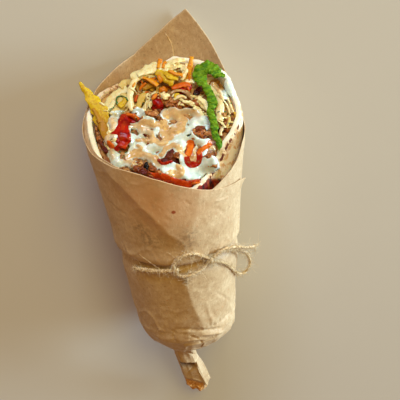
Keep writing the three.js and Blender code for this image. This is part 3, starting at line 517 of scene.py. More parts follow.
def add_camera():
    elevation, azimuth, roll = np.radians([CAMERA_ELEVATION, CAMERA_AZIMUTH, CAMERA_ROLL])
    towards = np.array([math.sin(azimuth) * math.cos(elevation),
                        math.cos(azimuth) * math.cos(elevation), math.sin(elevation)])
    level_up = unit(np.array([0.0, 1.0, 0.0]) - towards[1] * towards)
    level_right = np.cross(level_up, towards)
    right = math.cos(roll) * level_right + math.sin(roll) * level_up
    up = -math.sin(roll) * level_right + math.cos(roll) * level_up
    position = (CAMERA_TARGET + CAMERA_DISTANCE * towards) * MM
    camera = bpy.data.objects.new("camera", bpy.data.cameras.new("camera"))
    camera.data.lens = CAMERA_LENS
    camera.data.sensor_width = SENSOR
    camera.data.clip_start = 0.05
    camera.matrix_world = Matrix((
        (right[0], up[0], towards[0], position[0]),
        (right[1], up[1], towards[1], position[1]),
        (right[2], up[2], towards[2], position[2]),
        (0.0, 0.0, 0.0, 1.0),
    ))
    bpy.context.scene.collection.objects.link(camera)
    bpy.context.scene.camera = camera


def area_light(name, place, target, size, power, color):
    light = bpy.data.lights.new(name, "AREA")
    light.shape = "RECTANGLE"
    light.size, light.size_y = size
    light.energy = power
    light.color = color
    holder = bpy.data.objects.new(name, light)
    holder.location = Vector(place)
    holder.rotation_euler = (Vector(target) - Vector(place)).to_track_quat("-Z", "Y").to_euler()
    bpy.context.scene.collection.objects.link(holder)


def add_stage():
    world = bpy.data.worlds.new("studio")
    bpy.context.scene.world = world
    world.use_nodes = True
    background = world.node_tree.nodes["Background"]
    background.inputs["Color"].default_value = AMBIENT_COLOR
    background.inputs["Strength"].default_value = AMBIENT_STRENGTH
    for name, settings in LIGHTS.items():
        area_light(name, *settings)
    corners = np.array([[-1, -1, 0], [1, -1, 0], [1, 1, 0], [-1, 1, 0]]) * FLOOR_HALF
    floor = mesh_object("floor", corners, [[0, 1, 2, 3]], finished("pale_floor"))
    floor.location.z = -FLOOR_GAP * MM
    bpy.context.scene.view_settings.view_transform = "Standard"


# Cone

WAIST_DEPTH = 2.4
WAIST_DEPTH_UNDER = 1.5
WAIST_HALF_WIDTH = 7.0


def cone_radius(y):
    return BODY_RADIUS + CONE_SLOPE * np.asarray(y, float)


def from_top(along):
    """Degrees along the sheet as an angle from the top, between -180 and 180."""
    return (along + 180.0) % 360.0 - 180.0


def underside(angle):
    """1 where the wrap lies on the floor and 0 where it is clear of it."""
    return smoothstep(-np.cos(np.radians(angle)), 0.6, 0.97)


def waist_depth(angle, y):
    """How far the twine draws the wrap in: more where the wrap lies on it."""
    valley = np.exp(-(((y - TWINE_Y) / WAIST_HALF_WIDTH) ** 2))
    return valley * (WAIST_DEPTH + underside(angle) * WAIST_DEPTH_UNDER)


def on_cone(angle, y, height, floor=0.0):
    """A point over the cone: degrees from the top towards +X, place along Y, height over it."""
    angle, y, height = np.broadcast_arrays(angle, y, height)
    turn = np.radians(angle)
    radius = cone_radius(y) + height
    z = np.maximum(cone_radius(y) - FLOOR_PRESS + radius * np.cos(turn), floor)
    return np.stack([radius * np.sin(turn), np.asarray(y, float), z], axis=-1)


def layer_point(angle, y, inset):
    return on_cone(angle, y, -inset - waist_depth(angle, y), np.maximum(inset, 0.0))


# Paper: one sheet rolled a little more than once round, from a hidden start at 20 degrees
# to its free edge at 432, which is 72 degrees from the top on the right

SHEET_START = 20.0
SHEET_END = 432.0
SHEET_THICKNESS = 0.36
SHEET_COLUMNS = 360
# Each turn lies on the one before: how far out, and where along the sheet it rises
PLY_STEP = 0.6
PLY_RISES = (250.0, 380.0)
# On the left the sheet stands off the bread, more towards the mouth
STAND_OFF = 1.6
STAND_OFF_ANGLE = 265.0
STAND_OFF_SPREAD = 55.0
STAND_OFF_RISES = (TWINE_Y, 35.0)
FLAP_TIP = 158.0

# The sheet's upper edge: degrees along the sheet, and place along Y
SHEET_EDGE = np.array([
    [20, 27], [25, 29.5], [30.6, 31.5], [40.5, 34.4], [51.2, 37.9], [58.5, 40.6], [65.7, 45.4],
    [70.2, 48.8], [80, 51.6], [101, 55], [110.5, 61], [117, 67], [124, 73], [FLAP_TIP, 109],
    [176, 97], [196, 84.5], [226, 74], [250, 64], [290, 53.4], [303, 52.6], [323, 51.9], [338, 49.5],
    [351.8, 45.5], [365.3, 40.4], [379.2, 35.4], [388.3, 32.5], [396.7, 30.4], [410.5, 28],
    [426.9, 25.3], [432, 24.4],
])

# Across the waist the upper part of the sheet hangs over the groove with the twine:
# place along the sheet, place along Y, height over the cone
WAIST_LIP = np.array([
    [-4, -4, -0.1], [-7, -7, 0.1], [-9, -9.6, 0.4], [-11.5, -12.9, 0.8], [-13, -15.2, 0.6],
    [-14, -16.7, -0.1], [-14.8, -17.0, -1.1], [-15.6, -16.3, -2.2], [-16.6, -16.1, -3.1],
    [-17.8, -18.2, -3.3], [-19, -20.0, -2.9], [-21, -22, -2.0], [-24, -24.6, -1.1], [-28, -28.4, -0.4],
    [-32, -32, 0.0],
])
# How much the sheet hangs over the twine there, by the angle from the top
LIP_WEIGHTS = np.array([
    [-180, 0.25], [-130, 0.5], [-100, 1], [0, 1], [14, 0.8], [27, 0.3], [38, 0.75], [60, 0.8],
    [90, 0.5], [180, 0.25],
])

# Folds in the shown side: height of the ridge (below 0 for a dent), how wide its left and right
# slopes are, as seen along the fold, and degrees and place along Y of its corners
CREASES = [
    (1.5, 26, 7, (-58, 52), (-41, 41.5), (-29.8, 31.9), (-13.2, 15.3), (3, -4.4)),
    (0.6, 12, 10, (24, 40), (20.9, 34.3), (10, 5.1), (8.8, -7.5)),
    (0.35, 1.6, 1.6, (31.4, 23.2), (39.6, 21.8), (50.9, 20)),
    (-0.4, 1.4, 1.4, (27.5, 19.1), (35.4, 17.3), (43.3, 10.8)),
    (-0.4, 1.4, 1.4, (-62, 24), (-52.7, 20), (-39.3, 16.9)),
    (-0.5, 1.6, 1.6, (-59.3, -5.4), (-52, -15)),
    (-1.4, 1.4, 1.4, (-78, -15), (-64, -16.5), (-45, -17.8), (-20, -19.4), (6, -18.6)),
    (-0.25, 1, 1, (-17, 31.2), (-17.5, 26.9)), (-0.25, 1, 1, (7.5, 30.9), (11.7, 25.9)),
    (-0.25, 1, 1, (-9.8, 21.1), (-3.4, 16.4)),
    (1, 9, 9, (2, -24), (3.3, -35.7), (6.9, -50.2), (16.6, -68.8), (18, -76)),
    (-0.35, 1.6, 1.6, (7.8, -35.6), (22, -39.4)),
    (-0.45, 1.8, 1.8, (30, -44), (44, -53), (58.5, -63.1)),
    (-0.3, 1.4, 1.4, (-40.6, -65.7), (-37.7, -72.8)), (-0.3, 1.3, 1.3, (-27.9, -50.8), (-16.3, -48.1)),
    (-0.8, 1.6, 1.6, (38, -12.8), (48.7, -14.2), (60.8, -15.7)),
    (-0.8, 1.5, 1.5, (60.6, -70.1), (33.5, -72.4)), (-0.6, 1.4, 1.4, (21.5, -69.4), (39, -73.3)),
    (-1, 1.8, 1.8, (-18.5, -68.9), (-0.7, -69.3), (16, -72.4), (48.8, -79)),
    (-0.5, 1.2, 1.2, (-19.5, -69), (-14.2, -73)), (0.8, 1.8, 1.8, (12.4, -75.6), (49.1, -82.1)),
    (-0.6, 1.3, 1.3, (-0.1, -74.6), (12, -79.4)),
    (0.7, 1.6, 1.6, (-9.5, -79.8), (7.7, -79.1), (25.7, -82.3)),
    (-0.6, 1.2, 1.2, (13.1, -80), (16.5, -84.9)), (-0.6, 1.3, 1.3, (-17.6, -73.6), (-16.8, -79.8)),
]
CREASE_FADE = 0.22


def fold_relief(folds, arc, y):
    """How far folds push a sheet out. Their corners are millimetres round and along it."""
    relief = np.zeros_like(arc)
    for height, left, right, *corners in folds:
        places = np.array(corners, float)
        lengths = np.linalg.norm(np.diff(places, axis=0), axis=1)
        starts = np.concatenate([[0.0], np.cumsum(lengths)])
        nearest, width, along = np.full_like(arc, np.inf), np.ones_like(arc), np.zeros_like(arc)
        for start, end, length, before in zip(places[:-1], places[1:], lengths, starts):
            step = (end - start) / length
            run = np.clip((arc - start[0]) * step[0] + (y - start[1]) * step[1], 0.0, length)
            off = np.stack([arc - start[0] - run * step[0], y - start[1] - run * step[1]])
            distance = np.hypot(*off)
            side = step[0] * off[1] - step[1] * off[0]
            closer = distance < nearest
            nearest = np.where(closer, distance, nearest)
            width = np.where(closer, np.where(side > 0, left, right), width)
            along = np.where(closer, (before + run) / starts[-1], along)
        ends = smoothstep(np.minimum(along, 1.0 - along), 0.0, CREASE_FADE)
        relief += height * ends * np.maximum(1.0 - nearest / width, 0.0) ** 1.5
    return relief


def crease_relief(angle, y):
    folds = [(*row[:3], *((math.radians(a) * cone_radius(b), b) for a, b in row[3:]))
             for row in CREASES]
    return fold_relief(folds, np.radians(angle) * cone_radius(y), y)


def sheet_offset(along, y):
    """The height of the sheet over the cone."""
    off = np.clip(np.abs(along - STAND_OFF_ANGLE) / STAND_OFF_SPREAD, 0.0, 1.0)
    stand_off = STAND_OFF * np.cos(off * np.pi / 2.0) * smoothstep(y, *STAND_OFF_RISES)
    return PLY_STEP * smoothstep(along, *PLY_RISES) + stand_off


# Degrees from the bottom over which the paper's relief sets in
RELIEF_STARTS = (12.0, 40.0)
# Soft waves of the sheet: depth, size round and along it, and seed
WAVES = [(0.35, (30.0, 26.0, 1.0), 3), (0.22, (11.0, 14.0, 1.0), 5)]
# Crumpling that runs aslant: size, seed, how sharp it is, and its depth everywhere, its further
# depth near the tail and its further depth beside the twine
CRUMPLING = [((22.0, 15.0, 1.0), 8, 3, 0.2, 0.6, 0.25), ((8.0, 6.0, 1.0), 12, 2, 0.06, 0.3, 0.14)]
SLANT = 0.6
NEAR_TAIL = (-40.0, -78.0)
TWINE_REACH = 12.0
# Pleats where the twine gathers the sheet: depth, reach, and how much longer than wide they are
PLEAT_DEPTH = 0.3
PLEAT_REACH = 8.0
PLEAT_STRETCH = 0.15


def off_floor(angle):
    """0 where the sheet lies on the floor and has no relief, 1 a little way up its sides."""
    return smoothstep(np.abs((angle + 360.0) % 360.0 - 180.0), *RELIEF_STARTS)


def unrolled(along, y, radius):
    """Places on the flat sheet, for noise: millimetres round a cone of one radius, and along it."""
    return np.stack([np.radians(along) * radius, y, np.zeros_like(y)], axis=-1)


def sheet_relief(along, angle, y):
    """Waves, crumpling and folds. They die away where the wrap lies on the floor."""
    base = unrolled(along, y, 40.0)
    relief = layered(base, WAVES)
    slanted = np.stack([base[..., 0] + SLANT * base[..., 1], base[..., 1] - SLANT * base[..., 0],
                        base[..., 2]], axis=-1)
    near_tail = smoothstep(y, *NEAR_TAIL)
    near_twine = np.exp(-(((y - TWINE_Y) / TWINE_REACH) ** 2))
    for size, seed, power, depth, tail_depth, twine_depth in CRUMPLING:
        sharp = np.maximum(ridges(slanted, size, seed), 0.0) ** power
        relief += sharp * (depth + tail_depth * near_tail + twine_depth * near_twine)
    relief += crease_relief(angle, y)
    pleats = noise(unrolled(along, y * PLEAT_STRETCH, 40.0), (5.0, 3.0, 1.0), 21)
    relief += PLEAT_DEPTH * pleats * np.exp(-(((y - TWINE_Y + 2) / PLEAT_REACH) ** 2))
    return relief * off_floor(angle)


def sheet_body(along, y):
    """Points of the rolled sheet over the cone, with the lip over the twine."""
    angle = from_top(along)
    under = underside(angle)
    inside = (y < WAIST_LIP[0, 0]) & (y > WAIST_LIP[-1, 0])
    weight = np.where(inside, looked_up(LIP_WEIGHTS, angle), 0.0)
    place = blend(blend(y, looked_up(WAIST_LIP, y), weight), y, under)
    valley = -waist_depth(angle, y)
    height = blend(valley, looked_up(WAIST_LIP, y, 2), weight) + sheet_offset(along, y)
    height = blend(height, valley, under) + sheet_relief(along, angle, y)
    return on_cone(angle, place, height)


# The gathered bottom, from the shoulder (0) to the neck (1)
BOTTOM_BLUNTNESS = 0.95
NECK_MIDDLE = (-3.0, 26.2)
NECK_FLATTENS_PLIES = 0.6
FULLER_RIGHT = 1.8
# A bulge on its right: height, then middle and reach in degrees from the top and in share down
BULGE = (2.2, 68.0, 24.0, 0.55, 0.2)
# Its gathers: depth, size, seed. They grow over a share of the way down
GATHERS = [(1.0, (9.0, 40.0, 1.0), 31), (0.5, (4.0, 20.0, 1.0), 32)]
GATHER_DEPTH = 0.7
GATHERS_GROW = (0.1, 0.8)
DENT_DEPTH = 0.6
OFF_FLOOR_FROM = (0.25, 0.6)


def sheet_bottom(along, down):
    """Points of the gathered bottom, the given share of the way down it."""
    angle = from_top(along)
    turn = np.radians(angle)
    y = blend(SHOULDER_Y, NECK_Y, down)
    shoulder = cone_radius(SHOULDER_Y)
    drawn_in = NECK_RADIUS + (shoulder - NECK_RADIUS) * (1.0 - down ** 2) ** BOTTOM_BLUNTNESS
    plies = sheet_offset(along, y) * (1.0 - NECK_FLATTENS_PLIES * down)
    height, middle, reach, share, length = BULGE
    bulge = (FULLER_RIGHT * np.sin(turn) * np.sin(np.pi * down)
             + height * np.exp(-(((angle - middle) / reach) ** 2) - ((down - share) / length) ** 2))
    base = unrolled(along, y, 30.0)
    dents = np.maximum(ridges(base, (10.0, 8.0, 1.0), 33), 0.0) ** 2
    dents = dents * (0.5 + 1.1 * np.sin(np.pi * np.clip(down * 1.1, 0, 1)))
    relief = (GATHER_DEPTH * layered(base, GATHERS) * smoothstep(down, *GATHERS_GROW)
              + DENT_DEPTH * dents)
    relief = (relief + crease_relief(angle, y)) * blend(off_floor(angle), 1.0,
                                                        smoothstep(down, *OFF_FLOOR_FROM))
    radius = drawn_in + bulge + plies + relief
    middle_z = blend(shoulder - FLOOR_PRESS, NECK_MIDDLE[1], down)
    z = np.maximum(middle_z + radius * np.cos(turn), 0.0)
    return np.stack([radius * np.sin(turn) + NECK_MIDDLE[0] * down, y, z], axis=-1)


# Tail: place along Y, middle across and up, half width, half thickness, twist in degrees
TAIL_STATIONS = np.array([
    [-103, -3, 26.2, 8.8, 8.2, 0], [-107, -3.4, 25.6, 7.4, 5.6, 8], [-113, -3.2, 24.4, 6.8, 4, 16],
    [-118, -2.4, 23, 6.8, 3, 22], [-124, -1.1, 21, 7.3, 3.2, 14], [-133, 0.6, 17.6, 7.9, 3, 8],
    [-143, 2.4, 13.8, 8.4, 3, 4], [-150, 3.2, 11.2, 8.8, 3.4, 2],
])
# The flattened section: degrees from the top, share across, share up
TAIL_SECTION = np.array([
    [-180, -0.1, -0.95], [-130, -0.75, -0.85], [-92, -1, -0.3], [-60, -0.82, 0.35], [-25, -0.35, 0.72],
    [14, 0.36, 1.0], [34, 0.5, 0.95], [92, 1, -0.2], [135, 0.6, -0.9], [180, -0.1, -0.95],
])
# Folds in the tail's shown side, as CREASES, but in millimetres across from its middle
TAIL_FOLDS = [
    (-1.1, 1, 1.8, (-2.2, -104.5), (2, -110), (5.6, -116.8)), (-0.6, 1, 1.6, (-5.2, -132), (0.8, -126)),
    (0.5, 1.6, 1.2, (-5.5, -137.5), (-1, -140.5), (3, -143.5)),
    (0.5, 1.2, 1.6, (2.6, -121), (3, -132), (4, -147)),
]
# The upper layer ends in a pocket across the tail: its line along Y in the middle, how much that
# falls for each millimetre across, its height and the length over which it rises
POCKET_LINE = -120.1
POCKET_SLANT = -0.3
POCKET_HEIGHT = 1.9
POCKET_RISE = 10.0
POCKET_DEPTH = 2.2
POCKET_DEEPEST = 1.0
# The painted shadow in it: half width of the tail there, the shares across where the pocket ends
# at the right, degrees from the top where its shadow fades at each side, and how far down it fades
TAIL_HALF_WIDTH = 7.0
POCKET_RIM_END = (0.3, 0.6)
POCKET_END = (0.25, 0.5)
POCKET_SIDES = ((-85.0, -65.0), (5.0, 25.0))
POCKET_FADES = (3.0, 9.0)
# Where the torn end lies: share across, and place along Y of the shown layers and of those below
TORN_FRONT = np.array([[-1, -138.5], [-0.4, -141.4], [0.5, -147.0], [0.62, -148.6], [1, -143.5]])
TORN_BACK = np.array([[-1, -149.4], [-0.6, -153.6], [-0.05, -154.6], [0.5, -152.4], [1, -145.0]])
# The tail is flat from this share on, and meets the neck before the other one
TAIL_FLAT_FROM = 0.16
TAIL_JOINT = 0.1
# The hidden first turn of the sheet lies inside the others
HIDDEN_TURN_END = 72.0
HIDDEN_TURN_SIZE = 0.72
TAIL_WRINKLES = 0.04


def sheet_tail(along, share):
    """Points of the twisted tail, from the neck (0) to its torn end (1)."""
    angle = from_top(along)
    turn = np.radians(angle)
    shown = smoothstep(np.cos(turn), -0.1, 0.35) * smoothstep(along, 40.0, 90.0)
    end = blend(looked_up(TORN_BACK, np.sin(turn)), looked_up(TORN_FRONT, np.sin(turn)), shown)
    ragged = 0.5 * noise(in_line(np.radians(along) * 9.0), (1.6, 1, 1), 43)
    y = blend(NECK_Y, end + ragged, share)
    x, z, half_width, half_thickness, twist = (looked_up(TAIL_STATIONS, y, k) for k in range(1, 6))
    flattened = smoothstep(share, 0.0, TAIL_FLAT_FROM)
    across = blend(np.sin(turn), looked_up(TAIL_SECTION, angle), flattened)
    up = blend(np.cos(turn), looked_up(TAIL_SECTION, angle, 2), flattened)
    base = unrolled(along, y, 12.0)
    wrinkles = noise(base, (4.0, 16.0, 1.0), 41) + 0.5 * ridges(base, (6.0, 6.0, 1.0), 42)
    size = np.where(along < HIDDEN_TURN_END, HIDDEN_TURN_SIZE, 1.0) * (1.0 + TAIL_WRINKLES * wrinkles)

    above = y - POCKET_LINE - POCKET_SLANT * across * half_width
    step = smoothstep(above, -0.3, 0.5) * (1.0 - smoothstep(above, 0.5, POCKET_RISE))
    reach = np.where(above < -POCKET_DEEPEST, 5.0, 0.9)
    pocket = np.exp(-(((above + POCKET_DEEPEST) / reach) ** 2))
    layer = (POCKET_HEIGHT * step * (1.0 - smoothstep(across, *POCKET_RIM_END))
             - POCKET_DEPTH * pocket * (1.0 - smoothstep(across, *POCKET_END))
             + fold_relief(TAIL_FOLDS, across * half_width, y)) * smoothstep(up, 0.0, 0.6)

    across = across * half_width * size
    up = up * half_thickness * size + layer
    tilt = np.radians(twist)
    tail = np.stack([x + across * np.cos(tilt) + up * np.sin(tilt), y,
                     z - across * np.sin(tilt) + up * np.cos(tilt)], axis=-1)
    neck = sheet_bottom(along, np.ones_like(share))
    joint = smoothstep(share, 0.0, TAIL_JOINT)[..., None]
    return tail + (neck - tail[:1]) * (1.0 - joint)


# Rows of points along the wrap: those that follow the sheet's edge down to a place along Y, then
# runs with their first and last place and their count, then those of the bottom and of the tail
EDGE_ROWS = 64
EDGE_ROWS_END = 22.0
BODY_ROWS = [(21, -6, 26), (-6.8, -26, 36), (-27, -72, 42)]
BOTTOM_ROWS = 44
TAIL_ROWS = 54
EDGE_WOBBLE = 0.25
LEAST_HEIGHT = 0.02
# Marks on the paper: degrees and place along Y of the middle, and reach in millimetres. Sauce has
# soaked through under the front edge, the waist is grubby, and there is one red spot
SAUCE_STAIN = (-12.0, 31.0, 23.0)
SAUCE_SPOT = (-1.4, 23.1, 1.4)
SMUDGES = [(5.9, -1.0, 5.0), (10.1, 6.5, 4.0), (-24.4, 2.1, 7.0), (-31.6, 10.1, 5.0),
           (-171.1, 83.7, 1.6), (-169.0, 77.4, 1.6)]
# The free corner at the upper end of the sheet's last edge flicks out
CORNER_FLICK = 2.2
CORNER_FLICK_REACH = 9.0
CORNER_FLICK_FROM = 400.0


def sheet_edge_y(angle):
    """The sheet's edge where it lies against the bread, round the back and the left."""
    return looked_up(SHEET_EDGE, np.mod(angle - 73.0, 360.0) + 73.0)


def around_mark(mark, angle, y):
    middle, middle_y, reach = mark
    apart = np.hypot(np.radians(angle - middle) * cone_radius(middle_y), y - middle_y)
    return np.exp(-((apart / reach) ** 2))


def painted_pocket_shade(angle, y):
    """The inside of the tail's pocket, where its shadow is painted on the paper."""
    below = POCKET_LINE + POCKET_SLANT * TAIL_HALF_WIDTH * np.sin(np.radians(angle)) - y
    left, right = POCKET_SIDES
    sides = smoothstep(angle, *left) * (1.0 - smoothstep(angle, *right))
    return smoothstep(below, -0.2, 0.4) * (1.0 - smoothstep(below, *POCKET_FADES)) * sides


def build_paper():
    along = np.linspace(SHEET_START, SHEET_END, SHEET_COLUMNS)
    for tip in (FLAP_TIP, SHEET_END):
        along[np.argmin(np.abs(along - tip))] = tip
    wobble = EDGE_WOBBLE * noise(in_line(along * 0.7), (7.0, 1, 1), 50)
    edge = looked_up(SHEET_EDGE, along) + wobble * smoothstep(np.abs(along - FLAP_TIP), 2.0, 12.0)

    def rows(start, end, count):
        return np.linspace(start, end, count)[:, None] + 0 * along[None, :]

    body_y = np.vstack([blend(edge[None, :], EDGE_ROWS_END, rows(0.0, 1.0, EDGE_ROWS)),
                        *(rows(*run) for run in BODY_ROWS)])
    down, share = rows(0.0, 1.0, BOTTOM_ROWS), rows(0.02, 1.0, TAIL_ROWS)
    outer = np.vstack([sheet_body(along + 0 * body_y, body_y), sheet_bottom(along + 0 * down, down),
                       sheet_tail(along + 0 * share, share)])
    to_corner = np.hypot((SHEET_END - along) * 0.7, outer[:, :, 1] - SHEET_EDGE[-1, 1])
    flick = CORNER_FLICK * np.maximum(1.0 - to_corner / CORNER_FLICK_REACH, 0.0) ** 2
    normals = grid_normals(outer)
    outer = outer + normals * (flick * (along > CORNER_FLICK_FROM))[..., None]
    inner = outer - normals * SHEET_THICKNESS
    inner[..., 2] = np.maximum(inner[..., 2], LEAST_HEIGHT)
    angle, y = along[None, :] - 360.0, outer[:, :, 1]
    # The stain, spot and smudges are marks on the paper; the pocket's mark is painted shadow
    marks = {"stain": around_mark(SAUCE_STAIN, angle, y), "spot": around_mark(SAUCE_SPOT, angle, y),
             "smudge": np.minimum(sum(around_mark(mark, angle, y) for mark in SMUDGES), 1.0),
             "pocket": painted_pocket_shade(angle, y)}
    marks = {label: np.tile(value, (2, 1)).ravel() for label, value in marks.items()}
    piece = mesh_object("kraft_wrap", *shell(outer, inner), finished("kraft_paper"), marks)
    return keep(piece, "paper", "paper_wrap")


TORN_LAYERS = 3
TORN_START = -136.0
TORN_SIDES = (-0.93, 0.62)
TORN_RAGGED = 1.3


def build_torn_layers():
    """The crumpled inner layers that show past the shown layer's end at the tail."""
    across = np.linspace(*TORN_SIDES, 40)[None, :]
    share = np.linspace(0.0, 1.0, 30)[:, None]
    flat = np.stack([across * 9.0 + 0 * share, 20.0 * share + 0 * across, 0 * share * across], axis=-1)
    parts = []
    for layer in range(TORN_LAYERS):
        lift = layer / (TORN_LAYERS - 1.0) - 0.5
        ragged = TORN_RAGGED * noise(flat[-1:], (2.6, 1, 1), 54 + layer)
        end = looked_up(TORN_BACK, across) + 0.4 + 1.6 * (lift + 0.5) + ragged
        y = blend(TORN_START, end, share)
        x, z, half_width, half_thickness = (looked_up(TAIL_STATIONS, y, k) for k in range(1, 5))
        crumple = (0.7 * noise(flat, (3.4, 3.4, 1), 57 + layer)
                   + 0.5 * ridges(flat, (3.0, 2.4, 1), 60 + layer))
        up = half_thickness * (lift - 0.3 * across ** 2) + crumple * smoothstep(share, 0.3, 0.8)
        outer = np.stack([x + across * half_width, y, z + up], axis=-1)
        parts.append(shell(outer, outer - grid_normals(outer) * SHEET_THICKNESS))
    # Their finish has the orange of light shining through the thin layers painted in
    return keep(mesh_object("torn_layers", *joined(parts), finished("torn_paper_painted_backlight")), "paper")


# A pale fold line down the inside of the flap: degrees, and place along Y
FLAP_CREASE = np.array([[173.3, 95.2], [171.2, 91.6], [169.6, 88.0], [168.9, 84.0], [168.9, 79.0]])
FLAP_CREASE_WIDTHS = [0.3, 0.8, 0.6, 0.8, 0.4]
FLAP_CREASE_HEIGHT = 0.28
FLAP_CREASE_DEPTH = 0.3


def build_flap_crease():
    path = on_cone(FLAP_CREASE[:, 0], FLAP_CREASE[:, 1], -FLAP_CREASE_DEPTH)
    path[:, 2] = np.maximum(path[:, 2], SHEET_THICKNESS + 0.12)
    path = smooth_path(path, 0.5)
    stops = np.linspace(0, 1, len(FLAP_CREASE_WIDTHS))
    widths = np.interp(np.linspace(0, 1, len(path)), stops, FLAP_CREASE_WIDTHS)[:, None, None]
    up = np.array([0.0, 0.0, 1.0])
    side = unit(np.cross(np.gradient(path, axis=0), up))[:, None, :]
    offset = np.linspace(-1.0, 1.0, 7)[None, :, None]
    grid = path[:, None, :] + side * offset * widths / 2.0
    grid = grid + FLAP_CREASE_HEIGHT * up * (1.0 - offset ** 2)
    points, faces = shell(grid, grid - FLAP_CREASE_DEPTH * up)
    return keep(mesh_object("flap_crease", points, faces, finished("paper_crease")), "paper")


# At the left a second layer of the paper comes out under the sheet's edge and lies on the bread:
# degrees from the top, and place along Y of its own edge
INNER_LAYER_EDGE = np.array([
    [-121, 69.5], [-113, 66.4], [-105.5, 66.4], [-100.3, 64.2], [-96.3, 61.4], [-87.8, 58.7],
    [-80, 56.4], [-74.4, 54.8], [-66.5, 53.6], [-58, 52.8], [-50, 52.2], [-40, 51.4],
])
INNER_LAYER_UNDER = 7.0
INNER_LAYER_TOUCH = -1.0


def build_inner_layer():
    """It runs from under the sheet up to the sheet's edge, then over in a curve to the bread."""
    angle = np.linspace(INNER_LAYER_EDGE[0, 0], INNER_LAYER_EDGE[-1, 0], 110)[None, :]
    share = np.linspace(0.0, 1.0, 26)[:, None]
    sheet_edge = sheet_edge_y(angle)
    own_edge = looked_up(INNER_LAYER_EDGE, angle) + 0.3 * noise(in_line(angle * 0.65), 4.0, 52)
    under = sheet_offset(angle + 360.0, sheet_edge) - SHEET_THICKNESS - 0.15
    y = blend(sheet_edge - INNER_LAYER_UNDER, own_edge, share ** 0.8)
    height = blend(under, INNER_LAYER_TOUCH, smoothstep(share, 0.35, 1.0) ** 1.5)
    outer = on_cone(angle + 0 * y, y, height)
    outer = outer + grid_normals(outer) * (0.25 * noise(outer, (9.0, 6.0, 9.0), 53))[..., None]
    points, faces = shell(outer, outer - grid_normals(outer) * SHEET_THICKNESS)
    return keep(mesh_object("kraft_inner_layer", points, faces, finished("kraft_paper")), "paper")


# Bread

BREAD_INSET = 1.3
BREAD_WALL = 3.0
BREAD_LEAN = 7.6
BREAD_LEAN_PEAK = 1.7
BREAD_LEAN_ANGLE = 55.0
BREAD_LEAN_SPREAD = 42.0
BREAD_LEAN_LENGTH = 25.0
BREAD_OFF_NECK = 6.0
BREAD_BOTTOM_BLUNTNESS = 0.55
# The bread's edge round the back: degrees from the top (0 to 360), and place along Y. It steps
# where the bread's roll ends
BREAD_BACK_EDGE = np.array([
    [100, 63.5], [108, 65.5], [114, 69], [118, 74], [125, 76.8], [134, 77.3], [144, 78.6],
    [153, 79.6], [162, 80.2], [168.5, 81], [175.6, 79], [184, 77], [192.5, 76], [201, 75],
    [203.5, 70.4], [211, 70.9], [223, 71.2], [236, 70.4], [243, 69.3], [250, 67.7], [260, 65.7],
])
BACK_EDGE_SPAN = ((98.0, 104.0), (256.0, 262.0))
# Round the front the edge follows the mouth's plane, with waves of this height
EDGE_WAVES = 0.9


def bread_edge_y(angle):
    turn = np.radians(angle)
    plane = MOUTH_ORIGIN[1] - MOUTH_SLOPE * cone_radius(MOUTH_ORIGIN[1]) * np.cos(turn)
    slope = plane + EDGE_WAVES * (np.sin(3 * turn + 1) + np.sin(7 * turn))
    full = np.mod(angle, 360.0)
    starts, ends = BACK_EDGE_SPAN
    share = smoothstep(full, *starts) * (1.0 - smoothstep(full, *ends))
    return blend(slope, looked_up(BREAD_BACK_EDGE, full), share)


def bread_lean(angle, y):
    """At the right of the front the bread leans in over the filling and shows its back."""
    off = np.clip(np.abs(angle - BREAD_LEAN_ANGLE) / BREAD_LEAN_SPREAD, 0.0, 1.0)
    strength = np.cos(off * np.pi / 2.0) ** BREAD_LEAN_PEAK
    start = bread_edge_y(angle) - BREAD_LEAN_LENGTH
    return BREAD_LEAN * strength * np.clip((y - start) / BREAD_LEAN_LENGTH, 0.0, 1.0) ** 2


def bread_point(angle, y, depth):
    return layer_point(angle, y, BREAD_INSET + depth + bread_lean(angle, y))


def bread_bottom(angle, down, inset):
    """A ring of the rounded bottom, from the shoulder (0) towards the neck (1)."""
    turn = np.radians(angle)
    y = blend(SHOULDER_Y, NECK_Y + BREAD_OFF_NECK + inset, down) + 0.0 * turn
    radius = (cone_radius(SHOULDER_Y) - inset) * (1.0 - down ** 2) ** BREAD_BOTTOM_BLUNTNESS
    middle_z = cone_radius(SHOULDER_Y) - FLOOR_PRESS
    return np.stack([radius * np.sin(turn), y, middle_z + radius * np.cos(turn)], axis=-1)


# Where the bread's back shows toasted spots, and where sauce has run down it to its foot by the
# paper, with painted shade there: middle and reach in degrees from the top
LEANING_BAND = (52.0, 34.0)
TOASTED_BACK = (-142.0, 20.0)
OILY_SHADED_FOOT = (32.0, 17.0)
# How far the bread's back bulges towards the paper beside the leaning band
BACK_BULGE = 1.0
BULGING_BACK = (84.0, 22.0)
# Short dark strokes stand side by side on the leaning rim
DASH_LENGTH = 1.3
DASH_BEATS = [(1.0, (1.1, 1, 1), 67), (0.5, (0.7, 1, 1), 68)]
EDGE_RAGS = [(0.5, (5.0, 1, 1), 61), (0.25, (1.8, 1, 1), 62)]
BREAD_COLUMNS = 720
# Rings of points: places along Y of those that never show, shares down of those of the bottom,
# and how far down the outside and the inside the fine rows go, with their counts
HIDDEN_ROWS_Y = (SHOULDER_Y, -24.5, TWINE_Y, -8.5)
BOTTOM_RINGS_OUTSIDE = (0.84, 0.55, 0.25)
BOTTOM_RINGS_INSIDE = (0.3, 0.6, 0.84)
OUTSIDE_DEPTH, OUTSIDE_ROWS = 22.0, 44
INSIDE_DEPTH, INSIDE_ROWS = 26.0, 40
RIM_ROWS = 11
HIDDEN_GAP = 1.0
RIM_FLATNESS = 0.55
RIM_HEIGHT = 0.8
LEAN_SWELLING = 0.9
# Blisters of the bread: depth, size, seed, and the level above which one stands out
BLISTERS = (0.6, 5.5, 66, 0.25)


def near(angle, zone):
    return np.exp(-(((angle - zone[0]) / zone[1]) ** 2))


